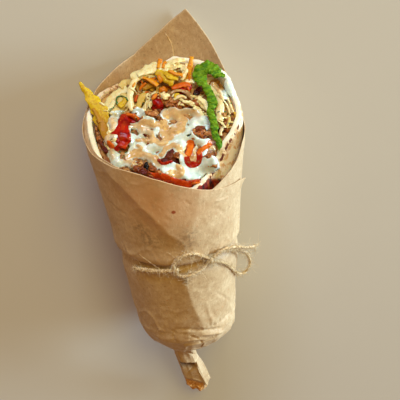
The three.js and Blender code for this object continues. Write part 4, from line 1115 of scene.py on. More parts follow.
def build_bread():
    angle = np.linspace(-180.0, 180.0, BREAD_COLUMNS, endpoint=False)
    around = in_line(angle * 0.65)
    edge = bread_edge_y(angle) + layered(around, EDGE_RAGS)
    rim_radius = BREAD_WALL / 2.0
    leaning, toasted_back = near(angle, LEANING_BAND), near(angle, TOASTED_BACK)
    inner_depth = BREAD_WALL + LEAN_SWELLING * leaning
    dashes = smoothstep(layered(around, DASH_BEATS), -0.2, 0.4) * smoothstep(leaning, 0.15, 0.5)
    rings, reliefs = [], []
    values = {"crust": [], "toast": [], "oil_and_painted_shade": [], "dash": []}

    def add(points, relief=1.0, **given):
        rings.append(points)
        reliefs.append(relief)
        for label, ring_values in values.items():
            ring_values.append(given.get(label, 0.0) + 0.0 * angle)

    for down in BOTTOM_RINGS_OUTSIDE:
        add(bread_bottom(angle, down, BREAD_INSET), 0.0, crust=1.0)
    for y in HIDDEN_ROWS_Y:
        add(layer_point(angle, y, BREAD_INSET + HIDDEN_GAP), 0.0, crust=1.0)
    for drop in np.linspace(OUTSIDE_DEPTH, rim_radius, OUTSIDE_ROWS):
        bulge = BACK_BULGE * near(angle, BULGING_BACK) * smoothstep(drop, rim_radius, 4.0)
        above_paper = edge - drop - sheet_edge_y(angle)
        add(bread_point(angle, edge - drop, HIDDEN_GAP * smoothstep(drop, 10.0, 20.0) - bulge),
            crust=smoothstep(drop, 0.5, 3.0), toast=leaning * (1.0 - smoothstep(drop, 2.0, 4.5)),
            oil_and_painted_shade=near(angle, OILY_SHADED_FOOT) * (1.0 - smoothstep(above_paper, 1.0, 8.0)),
            dash=dashes * (1.0 - smoothstep(drop, rim_radius, rim_radius + DASH_LENGTH)))
    for turn in np.linspace(0.0, np.pi, RIM_ROWS)[1:-1]:
        share = (1.0 - math.cos(turn)) / 2.0
        lift = rim_radius * math.sin(turn) ** RIM_FLATNESS * RIM_HEIGHT
        add(bread_point(angle, edge - rim_radius + lift, inner_depth * share),
            crust=0.9 * (1.0 - smoothstep(share, 0.0, 0.3)),
            toast=0.6 * leaning * (1.0 - smoothstep(share, 0.08, 0.3)) + toasted_back,
            dash=dashes * (1.0 - smoothstep(share, 0.0, 0.08)))
    for drop in np.linspace(rim_radius, INSIDE_DEPTH, INSIDE_ROWS):
        add(bread_point(angle, edge - drop, inner_depth),
            toast=toasted_back * (1.0 - smoothstep(drop, 3.0, 10.0)))
    for y in reversed(HIDDEN_ROWS_Y):
        add(layer_point(angle, y, BREAD_INSET + BREAD_WALL), 0.0)
    for down in BOTTOM_RINGS_INSIDE:
        add(bread_bottom(angle, down, BREAD_INSET + BREAD_WALL), 0.0)
    grid = np.stack(rings)
    depth, size, seed, level = BLISTERS
    bumps = (0.22 * rough_noise(grid, 7.0, 64, 3) + 0.12 * rough_noise(grid, 2.2, 65, 2)
             + depth * np.maximum(noise(grid, size, seed) - level, 0.0)) * np.array(reliefs)[:, None]
    points, faces = capped(grid - grid_normals(grid, closed=True) * bumps[..., None])
    values = {label: np.append(rows, [rows[0][0], rows[-1][0]]) for label, rows in values.items()}
    piece = mesh_object("bread_round", points, faces, finished("flatbread_crumb"), values)
    return keep(piece, "bread", "flatbread")


# Filling: a core, refined copies of the large toppings, and small pieces laid one by one

# From the camera a thing that is moved by this much across and towards the back, for each
# millimetre that it rises out of the mouth, looks as if it hadn't moved
LINE_OF_SIGHT = np.array([-0.024, -0.567])
SIGHT_HEIGHT = 3.0


class Bed:
    """How high things lie in the mouth so far, on a grid over the mouth's frame."""

    STEP = 0.5
    HALF = 56.0
    LOWEST = -7.0

    def __init__(self):
        count = int(2 * self.HALF / self.STEP) + 2
        self.level = np.full((count, count), self.LOWEST)

    def cells(self, across, back):
        return (np.clip(((value + self.HALF) / self.STEP).astype(int), 0, len(self.level) - 2)
                for value in (np.asarray(back, float), np.asarray(across, float)))

    def add(self, points):
        """Points are in the mouth's frame."""
        back, across = self.cells(points[:, 0], points[:, 1])
        for down, beside in np.ndindex(2, 2):
            np.maximum.at(self.level, (back + down, across + beside), points[:, 2])

    def height(self, across, back):
        down, beside = self.cells(across, back)
        return self.level[down, beside]

    def rest(self, across, back, lift):
        """The point over the bed that looks as if it were at SIGHT_HEIGHT over the given place."""
        place = np.array([across, back], float)
        height = SIGHT_HEIGHT
        for _ in range(8):
            wanted = float(self.height(place[0], place[1])) + lift
            height = 0.5 * (height + wanted)
            place = np.array([across, back]) + (height - SIGHT_HEIGHT) * LINE_OF_SIGHT
        return np.array([place[0], place[1], height])


bed = Bed()

FILLING_DEPTH = BREAD_WALL + 0.4
CORE_COLUMNS = 360
CORE_EDGE = -3.4
CORE_RISE = 3.9
CORE_TOP_ROWS = 64
CORE_BELOW_BREAD = 2.5
CORE_BOTTOM_RINGS = (0.8, 0.4)
CORE_HIDDEN_ROWS_Y = (*HIDDEN_ROWS_Y, 12.0)
CORE_LUMPS = [(1.1, 7.0, 71), (0.8, 3.0, 72), (0.4, 1.4, 73)]
# Where the filling turns from meat to salad, across the mouth from the front to the back
SALAD_FROM = (-4.0, 6.0)


def filling_rim(angle):
    """Where the filling's top meets the bread: a point CORE_EDGE over the mouth's plane."""
    y = bread_edge_y(angle)
    outwards = math.hypot(1.0, MOUTH_SLOPE)
    for _ in range(5):
        z = bread_point(angle, y, FILLING_DEPTH)[..., 2]
        y = MOUTH_ORIGIN[1] + CORE_EDGE * outwards - (z - MOUTH_ORIGIN[2]) * MOUTH_SLOPE
    return bread_point(angle, np.minimum(y, bread_edge_y(angle) - CORE_BELOW_BREAD), FILLING_DEPTH)


def build_filling_core():
    angle = np.linspace(-180.0, 180.0, CORE_COLUMNS, endpoint=False)
    rim = filling_rim(angle)
    inset = BREAD_INSET + FILLING_DEPTH
    rows = [bread_bottom(angle, down, inset) for down in CORE_BOTTOM_RINGS]
    rows += [layer_point(angle, y, inset) for y in CORE_HIDDEN_ROWS_Y]
    rows.append(rim)
    local_rim = to_mouth(rim)
    for share in np.linspace(1.0, 0.02, CORE_TOP_ROWS)[1:]:
        local = local_rim * [share, share, 1.0]
        drop = (local_rim[:, 2] - CORE_EDGE) * smoothstep(share, 0.82, 1.0)
        lumps = layered(local * [1.0, 1.0, 0.0], CORE_LUMPS) * smoothstep(1.0 - share, 0.0, 0.12)
        local[:, 2] = CORE_EDGE + drop + CORE_RISE * (1.0 - share * share) + lumps
        rows.append(from_mouth(local))
    points, faces = capped(np.stack(rows))
    bed.add(to_mouth(points))
    salad = smoothstep(to_mouth(points)[:, 1], *SALAD_FROM)
    piece = mesh_object("filling_core", points, faces, finished("moist_filling"), {"salad": salad})
    return keep(piece, "filling", "filling")


# How ragged a strip's edges are, how rough it is for its thickness, and the relief of a chunk
RAGGEDNESS = 0.22
STRIP_RELIEF = 0.16
LUMP_RELIEF = [(0.34, 0.9, 130), (0.24, (0.8, 0.4, 0.4), 131), (0.16, (0.5, 0.2, 0.2), 132)]


def ribbon(points, widths, thickness, spacing=0.5, roll=0.0, ruffle=0.0, waves=0.0, across=8,
           crown=0.0, seed=0):
    """A strip along a curve in the mouth's frame: points, faces, share along, share across."""
    path = smooth_path(points, spacing)
    along = unit(np.gradient(path, axis=0))
    side = unit(np.cross(along, np.array([0.0, 0.0, 1.0])))
    lift = np.cross(side, along)
    angle = math.radians(roll)
    side, lift = (math.cos(angle) * side + math.sin(angle) * lift,
                  -math.sin(angle) * side + math.cos(angle) * lift)
    share = np.linspace(0.0, 1.0, len(path))[:, None]
    offset = np.linspace(-1.0, 1.0, across + 1)[None, :]
    width = np.interp(share, np.linspace(0.0, 1.0, len(widths)), widths)
    length = len(path) * spacing
    run = share * length + 0.0 * offset
    edge_run = np.stack([run, np.sign(offset) * 9.0 + 0.0 * share, 0.0 * run], axis=-1)
    ragged = 1.0 + RAGGEDNESS * noise(edge_run, (2.2, 3.0, 1.0), 90 + seed)
    grid = path[:, None, :] + side[:, None, :] * (offset * width * ragged / 2.0)[..., None]
    turn = share * waves * 2.0 * np.pi
    swing = (np.sin(turn + 1.8 * offset + seed)
             + 0.6 * np.sin(2.3 * turn + 2.6 * np.sign(offset) + 2.0 * seed))
    wave = crown * (1.0 - offset ** 2) + ruffle * np.abs(offset) ** 1.3 * swing
    grid = grid + lift[:, None, :] * wave[..., None]
    bumps = STRIP_RELIEF * thickness * layered(grid, [(1.0, 2.2, 80 + seed), (0.6, 1.0, 81 + seed)])
    grid = grid + lift[:, None, :] * bumps[..., None]
    ends = np.minimum(share, 1.0 - share) * length
    tip = np.clip(ends / (0.6 * thickness), 0.15, 1.0) ** 0.5
    half = grid_normals(grid) * (thickness / 2.0 * (1.0 - 0.5 * np.abs(offset) ** 3) * tip)[..., None]
    points_out, faces = shell(grid + half, grid - half)
    share_of, across_of = (np.tile(value, (2, 1)).ravel() for value in (share + 0.0 * offset,
                                                                         offset + 0.0 * share))
    return points_out, faces, share_of, across_of


def lump(middle, size, heading, seed, rows=18, columns=28):
    """A ragged chunk in the mouth's frame, with half sizes along, across and up."""
    polar = np.linspace(0.0, np.pi, rows + 2)[1:-1, None]
    turn = np.linspace(0.0, 2.0 * np.pi, columns, endpoint=False)[None, :]
    ball = np.stack([np.sin(polar) * np.cos(turn), np.sin(polar) * np.sin(turn),
                     np.cos(polar) + 0.0 * turn], axis=-1)
    grid = ball * (1.0 + layered(ball + seed, LUMP_RELIEF))[..., None] * np.array(size)
    sine, cosine = math.sin(math.radians(heading)), math.cos(math.radians(heading))
    spin = np.array([[cosine, sine, 0.0], [-sine, cosine, 0.0], [0.0, 0.0, 1.0]])
    return capped(grid @ spin + middle)


def add_chunk(node, material, seed, slot, tone, relief, grain_size, fibres=0.0, smoothing=6):
    """A chunk refined from its solid, with relief of its own kind."""
    points, normals, faces = refined_copy(node, CHUNK_VOXEL, smoothing)
    local = to_mouth(points)
    bumps = relief * rough_noise(local, grain_size, 100 + seed, 3)
    if fibres:
        heading = math.pi * noise(np.full((1, 3), float(seed)), 3.0, 7)[0]
        sine, cosine = math.sin(heading), math.cos(heading)
        turned = np.stack([local[:, 0] * cosine + local[:, 1] * sine,
                           -local[:, 0] * sine + local[:, 1] * cosine, local[:, 2]], axis=-1)
        bumps = bumps + fibres * noise(turned, FIBRE_SIZE, 120 + seed)
    points = points + normals * bumps[:, None]
    tones = {"tone": np.full(len(points), tone)}
    bed.add(to_mouth(points))
    return keep(mesh_object(node + "_detail", points, faces, material, tones), slot, node)


# The solids that keep their form: slot, tone, depth of the relief and its grain, and for some the
# depth of their fibres and how much they are smoothed
CHUNKS = {
    "tomato_wedge": ("tomato", 0, 0.25, 4, 0, 8),
    "tomato_slice_left": ("tomato", 0, 0.35, 2.5),
    "tomato_middle": ("tomato", 0, 0.5, 3),
    "tomato_back": ("tomato", 0, 0.5, 2.6),
    "chicken_strip_middle": ("chicken", 0.45, 0.7, 2.4, 0.4),
    "chicken_piece_left": ("chicken", 0.4, 0.8, 2.4, 0.4),
    "chicken_piece_front_left": ("chicken", 0.7, 0.9, 2.4, 0.45),
    "chicken_piece_front": ("chicken", 0.6, 0.9, 2.4, 0.45),
    "chicken_piece_sauced": ("chicken", 0.9, 0.8, 2.4, 0.4),
    "chicken_piece_right": ("chicken", 0.5, 0.8, 2.4, 0.4),
    "chicken_piece_low_right": ("chicken", 0.5, 0.8, 2.4, 0.4),
    "chicken_piece_by_leaf": ("chicken", 0.55, 0.8, 2.4, 0.4),
    "cabbage_lump_left": ("cabbage", 0, 0.6, 2),
    "cabbage_lump_front_left": ("cabbage", 0, 0.6, 2),
}
CHUNK_VOXEL = 0.45
FIBRE_SIZE = (6.0, 1.1, 1.3)

# The long pieces: slot, node, tone, places in the mouth's frame, widths along them, thickness, and
# what else is special in the strip
STRANDS = {
    "pepper_strip": ("pepper", "yellow_pepper_strip", 0, [
        (-30.2, -8, -5), (-32.2, -2, 0), (-34.2, 4.6, 3), (-36.4, 10.6, 4.2), (-39, 16.4, 4.8),
        (-42, 22.2, 5.4), (-45.1, 28, 6.4),
    ], [4.6, 7.4, 9.2, 9, 6.8, 4, 1], 1.3, dict(roll=10, ruffle=0.5, waves=2.2, crown=0.3, across=12)),
    "pepper_slice": ("pepper", "yellow_pepper_slice", 0.1, [
        (0.8, 29.4, 3.4), (4.6, 27.6, 4.8), (8.4, 23.4, 4.2),
    ], [5, 8, 6.4], 1.8, dict(ruffle=0.35, waves=1, crown=0.5)),
    "carrot_stick_detail": ("carrot", "carrot_stick", 0.1, [
        (14.6, 19.8, -0.2), (17, 28, 6.2), (19, 35.3, 9),
    ], [3, 3, 2.4], 2.4, dict(across=6)),
    "carrot_shred_left_detail": ("carrot", "carrot_shred_left", 0.2, [
        (-11.5, 31.6, 1.6), (-6.4, 26.6, 3.8), (-1.4, 22, 3.8),
    ], [1.6, 3, 3], 1.6, dict(across=6)),
    "carrot_shred_back_detail": ("carrot", "carrot_shred_back", 0.2, [
        (-1.6, 31.8, 1), (0.4, 35, 4.4), (1.6, 38, 6.4),
    ], [3, 3, 2.2], 1.6, dict(across=6)),
    "cream_strip": ("onion", "cream_strip_back", 0, [
        (11.8, 21.4, 1.2), (14, 27.2, 4.8), (16.2, 32.4, 6.8),
    ], [2.4, 3.4, 2], 1.3, dict(crown=0.5)),
    "onion_arc": ("onion", "onion_ring", 0, [
        (-17.4, 7.6, 2), (-18.2, 14, 3.2), (-17.2, 20.6, 3.8), (-14.2, 26, 4), (-9.4, 29.6, 4),
        (-3.8, 31.6, 3),
    ], [3, 4, 4.4, 4.4, 4, 3], 1.3, dict(roll=24, crown=0.7)),
    "cabbage_back": ("cabbage", "cabbage_strip_back", 0.3, [
        (1.4, 33.8, 1.8), (8.4, 36.6, 4.6), (15.4, 37.2, 4),
    ], [3, 3.4, 2.2], 1.1, dict(ruffle=0.4, waves=1.5)),
    "cabbage_right": ("onion", "cabbage_strip_right", 0.1, [
        (31.4, 12.6, 2), (31.6, 3.5, 3.4), (29.6, -5, 1),
    ], [3, 4.6, 4.2], 1.2, dict(roll=-14, ruffle=0.25, waves=1, crown=0.8)),
}
# The pepper strip's end in the filling is darker
DARK_END = 0.9
DARK_END_FADES = (0.16, 0.5)
# The lettuce's places are as seen at SIGHT_HEIGHT, with their true heights
LETTUCE_PATH = [
    (36.3, 23.2, 5), (34.2, 24.3, 5.6), (32.2, 25.7, 6.2), (28.9, 29.6, 7), (25, 29.8, 7),
    (22.1, 26.4, 6.6), (23.1, 21.1, 6.4), (25.4, 15.9, 6.2), (26.6, 11.7, 6), (27.5, 5.8, 6),
    (25.4, 1.1, 5.9), (26.2, -3.3, 5.7), (26.5, -8.4, 5.5), (26.3, -13.9, 5), (28, -20, 4),
    (27.4, -24.6, 2.4),
]
LETTUCE_WIDTHS = [0.8, 6.2, 8.6, 9.6, 8.8, 5.4, 3.8, 4.6, 5.4, 3.8, 4.2, 4.0, 4.8, 3.6, 4.0, 0.8]
LETTUCE_CURLS = [(0.24, (2.6, 1.1, 2.0), 140), (0.18, (1.6, 0.7, 1.0), 141)]


def build_large_toppings(materials):
    for seed, (node, row) in enumerate(CHUNKS.items()):
        add_chunk(node, materials[row[0]], seed, *row)
    for seed, (name, row) in enumerate(STRANDS.items()):
        slot, node, tone, places, widths, thickness, special = row
        points, faces, share, _ = ribbon(places, widths, thickness, seed=seed, **special)
        dark = 1.0 - smoothstep(share, *DARK_END_FADES) if name == "pepper_strip" else 0.0 * share
        tones = {"tone": tone + DARK_END * dark}
        bed.add(points)
        keep(mesh_object(name, from_mouth(points), faces, materials[slot], tones), slot, node)


def build_lettuce(material):
    seen = np.array(LETTUCE_PATH)
    places = seen[:, :2] + (seen[:, 2:] - SIGHT_HEIGHT) * LINE_OF_SIGHT
    path = np.column_stack([places, seen[:, 2]])
    points, faces, _, across = ribbon(path, LETTUCE_WIDTHS, 0.6, spacing=0.25, ruffle=0.7, waves=19,
                                      across=26, crown=0.5, seed=5)
    curls = layered(points, LETTUCE_CURLS)
    points = points + np.array([0.0, 0.0, 1.0]) * curls[:, None]
    bed.add(points)
    # Painted shade: the leaf is darker where its curls dip, and a little darker towards its edges
    tones = np.clip(0.75 + 1.6 * curls - 0.3 * np.abs(across) ** 3, 0.0, 1.0)
    piece = mesh_object("lettuce_frill", from_mouth(points), faces, material, {"tone": tones})
    keep(piece, "lettuce", "lettuce_leaf")


# Strips laid over the bed, bottom ones first. Each row: tone, thickness, how far it lies over what
# is under it, widths, and its places as seen at SIGHT_HEIGHT
STRIPS = [
    ("cabbage", [
        (0.35, 0.48, 0.1, (3.6, 5.28, 6, 4.8), (-32.5, 9.6), (-29.2, 15.6), (-24.5, 20.3),
         (-19.4, 23.6)),
        (0.7, 0.54, 0.2, (3.6, 4.8, 3.6), (-30.6, 8.1), (-27.2, 12.5), (-23.5, 15.4), (-20.7, 19.2)),
        (0.5, 0.54, 0.2, (4.2, 4.8, 3.6), (-28.2, 7.7), (-24.3, 9.8), (-20.9, 13.1), (-19.2, 16.7)),
        (0.1, 0.48, 0.4, (2.4, 3.12, 2.4), (-30.5, 9.9), (-28.4, 12.6), (-26.7, 15)),
        (0.7, 0.54, 0.2, (3.6, 4.8, 3.6), (-23.2, 24.1), (-19.5, 26.3), (-14.9, 28.7)),
        (0.95, 0.54, 0.3, (2.88, 4.08, 3.12), (-14.3, 9.2), (-11.9, 14.2), (-9.8, 18.1)),
        (0.3, 0.48, 0.5, (2.4, 2.88, 1.92), (-12.1, 5.9), (-9.2, 10.6), (-7.3, 15.1)),
        (0.15, 0.54, 0.3, (3.6, 7.2, 8.4, 4.8), (-16.5, 28.9), (-8.6, 31.9), (-0.9, 33), (4.6, 31.1)),
        (0.1, 0.54, 0.3, (3.6, 6.6, 6, 3.6), (-12.5, 30.7), (-6.6, 33.4), (0.6, 35.2), (6.2, 34)),
        (0.55, 0.48, 0.8, (1.68, 2.16, 1.44), (4.8, 32.2), (8.2, 34.5), (11.8, 36.2)),
        (0.45, 0.48, 0.8, (1.68, 2.16, 1.44), (4, 30.8), (7.3, 32.3), (11.8, 33.2)),
        (0.1, 0.54, 0.3, (2.88, 3.6, 2.88), (8.2, 35.3), (13, 32.3), (14.6, 29)),
        (0.25, 0.6, 0.4, (2.88, 4.08, 3.12), (18.1, 11.6), (21.2, 8.2), (23.6, 2.4)),
        (0.1, 0.54, 0.7, (2.4, 3.12, 2.4), (19.7, 12.2), (23.2, 7.2), (24.5, 1)),
        (0.15, 0.54, 0.4, (2.4, 3.12, 2.4), (16.6, 6.5), (18.7, 2.4), (20.8, -2.2)),
    ]),
    ("onion", [
        (0.5, 0.7, 0.8, (0.8, 1.1, 0.6), (34.6, 11.6), (36.4, 5), (37.4, -1.4)),
        (0.2, 0.7, 1, (0.8, 1.2, 0.7), (33.6, 8.4), (35.4, 2.8), (36.2, -2.6)),
        (0.1, 0.7, 1.2, (0.8, 1, 0.6), (36, 9.4), (37.2, 4), (38.2, -0.8)),
    ]),
    ("cabbage", [
        (0.9, 0.42, 0.5, (1.08, 1.56, 0.96), (35.7, -3.5), (34.7, -7.4), (33, -10.9)),
    ]),
    ("onion", [
        (0.2, 0.8, 0.6, (1.2, 1.8, 1.2), (31.8, -8.6), (29.9, -12.4), (29.4, -15.4)),
        (0.1, 0.8, 0.7, (1, 1.6, 1), (28.9, -5), (31, -7.6), (32.6, -10.6)),
    ]),
    ("cabbage", [
        (0.1, 0.48, 0.6, (1.68, 2.4, 1.68), (26.2, 19.7), (27.8, 16.4), (29.1, 10.9)),
        (0.2, 0.6, 0.2, (3.6, 5.28, 3.6), (25.4, 18.2), (29.4, 14.6), (32.6, 9.7)),
    ]),
    ("tomato", [
        (0.25, 1.5, 0.9, (5, 7.4, 8, 8.4, 6), (-21.6, 5.4), (-22.8, -1), (-23.5, -7),
         (-24.6, -12.5), (-26, -16.5)),
        (0, 2.2, 0.4, (3, 5, 4.6), (-4.4, 15.4), (-2.8, 11.6), (-1.6, 7.2)),
    ]),
    ("onion", [
        (0.1, 1, 0.4, (3, 4, 2.4), (23.4, 18.6), (26.4, 21.6), (29.8, 23.6)),
        (0.15, 1, 0.3, (2, 2.6, 2), (-32, -11.3), (-32.3, -6.9), (-30.3, -4.2)),
        (0.1, 0.7, 0.6, (0.8, 1.1, 0.6), (-10.3, 3.3), (-10.2, 7.9), (-8.9, 12.3)),
        (0.1, 0.7, 0.5, (0.8, 1.1, 0.6), (-11.6, 8.1), (-11.1, 4.3), (-11.7, -0.2)),
        (0.05, 0.7, 0.5, (0.8, 1, 0.6), (-8, 14), (-8.7, 16), (-7.6, 18.2)),
        (0.9, 0.9, 1, (1.2, 2.2, 2.2, 1.6), (4.7, 15), (6.7, 16.8), (10.8, 16.8), (14.6, 14.2),
         (16.8, 10.1)),
        (0.45, 0.9, 0.8, (1.2, 1.8, 1.4), (5.9, 11.4), (9.8, 13.1), (13.3, 11.1)),
        (0.1, 0.8, 0.2, (1.4, 2, 1.2), (7.4, -22.4), (9.5, -19.8), (10.4, -17)),
        (0, 1.1, 0.6, (1.8, 2.4, 1.8), (11.8, 23.2), (14.5, 28.2), (16.1, 31.9)),
        (0.1, 1.1, 0.7, (2, 2.6, 2), (13.7, 23.3), (17.1, 23.2), (18.2, 21.1)),
    ]),
    ("pepper", [
        (0.1, 1, 0.5, (2.6, 3.4, 2.6), (-24.5, 10.6), (-21.4, 14), (-19.9, 16.2)),
        (0.2, 1.1, 0.6, (3.5, 6, 5.5, 2), (-2, 31.6), (1.9, 28.8), (5.2, 24.1), (6, 20)),
        (0.15, 1.1, 0.8, (3, 5, 3), (2.7, 30.6), (6.2, 27.4), (10, 24.2)),
        (0.75, 1, 0.5, (3, 4, 3), (-10.8, 21.3), (-6.8, 23.2), (-3.2, 24.8)),
        (0.9, 1, 0.5, (3, 4, 2.6), (27.8, 19.8), (30.1, 20.5), (32.7, 21.1)),
        (0.6, 0.8, 0.4, (1.4, 2, 1), (38.2, -0.5), (39.1, -2.5), (39.2, -5.5)),
        (0.8, 1, 0.1, (4, 5, 5, 3), (-35.6, 4.5), (-34.4, -0.5), (-33.6, -5), (-33.2, -9)),
        (0.8, 0.8, 0.3, (2, 2.4, 1.6), (-38.8, 11.8), (-36.9, 7), (-35.9, 1.7)),
        (0.35, 0.9, 1.1, (1.2, 1.6, 1), (6.9, 12.8), (7.7, 14.2), (9.6, 14.4)),
    ]),
    ("carrot", [
        (0.1, 1.1, 0.8, (1.6, 2.6, 2.4), (-9.5, 28.9), (-4.8, 25.4), (-1.8, 21.6)),
        (0.15, 1, 0.8, (1.2, 1.6, 1.2), (0.7, 38.5), (0, 36), (-0.5, 33.7)),
        (0.3, 1, 0.8, (1.2, 1.6, 1.2), (4.7, 37.2), (3.2, 36.4), (2.3, 33.4)),
        (0.2, 1, 0.8, (1.4, 2.4, 2), (5.1, 31), (9.1, 28.2), (12.9, 26.7)),
        (0.3, 1.2, 0.8, (2, 3, 2.4), (-0.7, 29.1), (-0.1, 26.3), (1.1, 24)),
        (0.8, 1.2, 0.6, (2.2, 3.6, 3.4, 2.2), (5.7, 18.8), (9.6, 20.5), (13.4, 20.8), (16.4, 19.5)),
        (0.5, 1.1, 0.8, (1.4, 2, 1.4), (-5.9, 13), (-4.2, 14.6), (-2.6, 16.3)),
        (0.9, 1, 0.6, (1.2, 1.8, 1.2), (-15.2, 13.1), (-14.7, 15.7), (-13.8, 17.9)),
        (0.6, 0.9, 0.6, (1, 1.4, 1), (-12.5, 19.6), (-10.6, 23.1), (-7.9, 25.8)),
    ]),
]
# Small chunks: tone, place as seen at SIGHT_HEIGHT, half sizes along, across and up, and heading
LUMPS = {
    "chicken": [
        (0.35, -6.2, 2.7, 3.4, 1.7, 1.4, -20), (0.5, -2.9, 0.1, 2, 1.3, 1.1, -35),
        (0.3, -8.8, 4.4, 1.8, 1.1, 1, -50), (0.4, 2.5, 9.1, 3.4, 2, 1.5, -25),
        (0.55, 8.7, 5.2, 3.4, 1.6, 1.3, -8), (0.35, 5.8, 10.3, 2.4, 1.5, 1.2, 20),
        (0.45, 14.8, -11.2, 2.2, 1.6, 1.4, 60), (0.75, 18.1, -9.5, 3, 1.5, 1.3, 15),
        (0.4, 21.9, -13, 2.6, 1.5, 1.3, -15), (0.5, 17.5, -13.6, 2.2, 1, 0.9, -10),
        (0.95, -2.8, -27.6, 3, 2, 1.5, 25), (0.8, 1.4, -26, 3.2, 2.1, 1.7, 35),
        (0.6, 4.2, -24.9, 1.8, 1.9, 1.5, 60), (0.85, 0, -29.2, 2.6, 1.1, 1, 10),
        (0.45, 21, -27.6, 2.4, 1.3, 1.2, 15), (0.55, 24.5, -26.5, 2.2, 1.4, 1.2, 20),
        (0.75, -17.7, -30.6, 2.4, 1.9, 1.4, -40), (1.3, -12.7, -29.1, 1.3, 1.9, 1.4, 10),
        (0.6, -9.3, -31.6, 3, 1.8, 1.4, -35), (0.5, -7, -33.8, 2.2, 1.2, 1, -40),
        (0.1, -15.9, -27.8, 1.8, 1.1, 1, 40), (0.9, -14.3, -33, 2.4, 1.2, 1, -20),
        (0.7, -11.4, -34.5, 2.2, 1.2, 1, -25), (0.2, -19.8, -27.3, 1.6, 1, 0.9, 60),
        (0.3, -37.7, -4.3, 2.4, 1.5, 1.3, -70), (0.4, -36.2, -8.4, 2.8, 1.9, 1.4, -60),
        (0.8, -35.2, -12.5, 2.8, 1.8, 1.4, -50), (1, -34.2, -15.9, 2.2, 1.5, 1.1, -45),
        (0.35, -38.2, -1, 2.2, 1.2, 1.1, -75), (0.2, -34.3, -4.1, 2.2, 1.4, 1.2, -60),
        (1.2, 19.1, 15.1, 2.2, 1.6, 1.5, 30), (0.95, 21, 17.2, 1.8, 1.4, 1.2, -30),
        (0.9, -12, -7.3, 1.3, 2.4, 1.1, 0), (0.4, -10.5, -14.2, 1.8, 1.4, 1.1, 0),
        (0.9, 6.2, -40.3, 2.2, 1.2, 1, -10), (0.7, 11.6, -42.9, 2.6, 1.3, 1.1, 10),
        (0.6, 32.8, -7.2, 1.4, 1.1, 1, 60), (0.45, 34.6, -5.6, 1.3, 1, 0.9, 60),
        (1.3, 29.1, -10.7, 1.2, 1.2, 1.1, 30), (0.3, 29.9, -14.5, 1.9, 1.1, 1, -50),
        (0.45, 32.3, -11, 1.5, 0.9, 0.9, -40), (0.5, 30.8, 18.3, 1.8, 1.2, 1, 0),
        (0.55, -11.6, 11.9, 1.4, 1, 0.9, 70), (0.7, -12.2, 15.4, 1, 0.8, 0.8, 60),
        (0.55, 36.4, 22.9, 1.6, 1.2, 1, 60),
    ],
    "onion": [
        (0, 1.9, 14.2, 2.5, 1.9, 1.6, -15), (0.05, 0.4, 16.3, 1.6, 1.3, 1.2, 0),
        (0.1, -4.5, 17.4, 2.2, 1.2, 1.1, 25), (0, 12.5, 9, 2.2, 1, 1, -30),
        (0, 15.8, 7.3, 1.9, 1.2, 1.1, -35), (0.05, 18, 4.9, 1.5, 0.9, 0.9, -40),
        (0, -9.2, 14.6, 0.9, 0.8, 0.7, 0), (0, -9.2, 11.2, 0.8, 1.1, 0.7, 0),
        (0.2, 9.1, 11.6, 2.4, 0.9, 0.9, -25), (0.05, -28.5, -10.5, 1.1, 1, 0.9, 0),
        (0.15, -27.4, 14, 1.3, 0.9, 0.8, 40), (0, -29.2, 11.8, 1.2, 0.8, 0.8, 0),
    ],
    "carrot": [
        (0.45, 0.7, 19.5, 2.8, 2, 1.6, -10), (0.7, -4.4, 13.8, 1.6, 1.3, 1.1, 45),
        (0.7, 12.2, -42.7, 2.2, 1.2, 1, 0), (0.8, -31.8, -12.2, 1.6, 1.3, 1.1, -50),
    ],
    "pepper": [
        (0.6, -5.2, 20.9, 2, 1.3, 1, 30),
    ],
}
HERB_RING = [
    [(-25.4, 12.4), (-25.7, 15.7), (-24.8, 18.0), (-22.4, 18.2), (-20.0, 16.3)],
    [(-20.0, 16.3), (-19.1, 14.0)],
    [(-25.6, 12.6), (-24.9, 14.1)],
]
HERB_FLECKS = [
    (-18.4, -6.7), (12.6, -13.3), (11.3, -13.6), (3.9, -11.4), (7.2, -12.8), (-5.1, -10.9),
    (-25.5, -21.9), (-26.4, -18.2), (-23.1, -19), (6.5, -32.4), (-24.7, -21), (-30.3, 8.8),
    (-28.6, 10.4), (-29.4, 9.8), (-27.6, 11), (33.6, -0.2), (35, -1.5), (36.4, -3), (32.1, -4.9),
    (35.1, -7.9), (28.8, -16.9), (-14.5, -10.7), (-19.8, -12.2), (-15.7, -7.6), (16.3, -13.4),
    (37.7, 5.2), (33.7, 5.7), (30.2, 0.2), (-11, 11.4), (18.3, 13.5), (17, 10.6), (-27.5, 8),
]
LUMP_SINK = 0.25


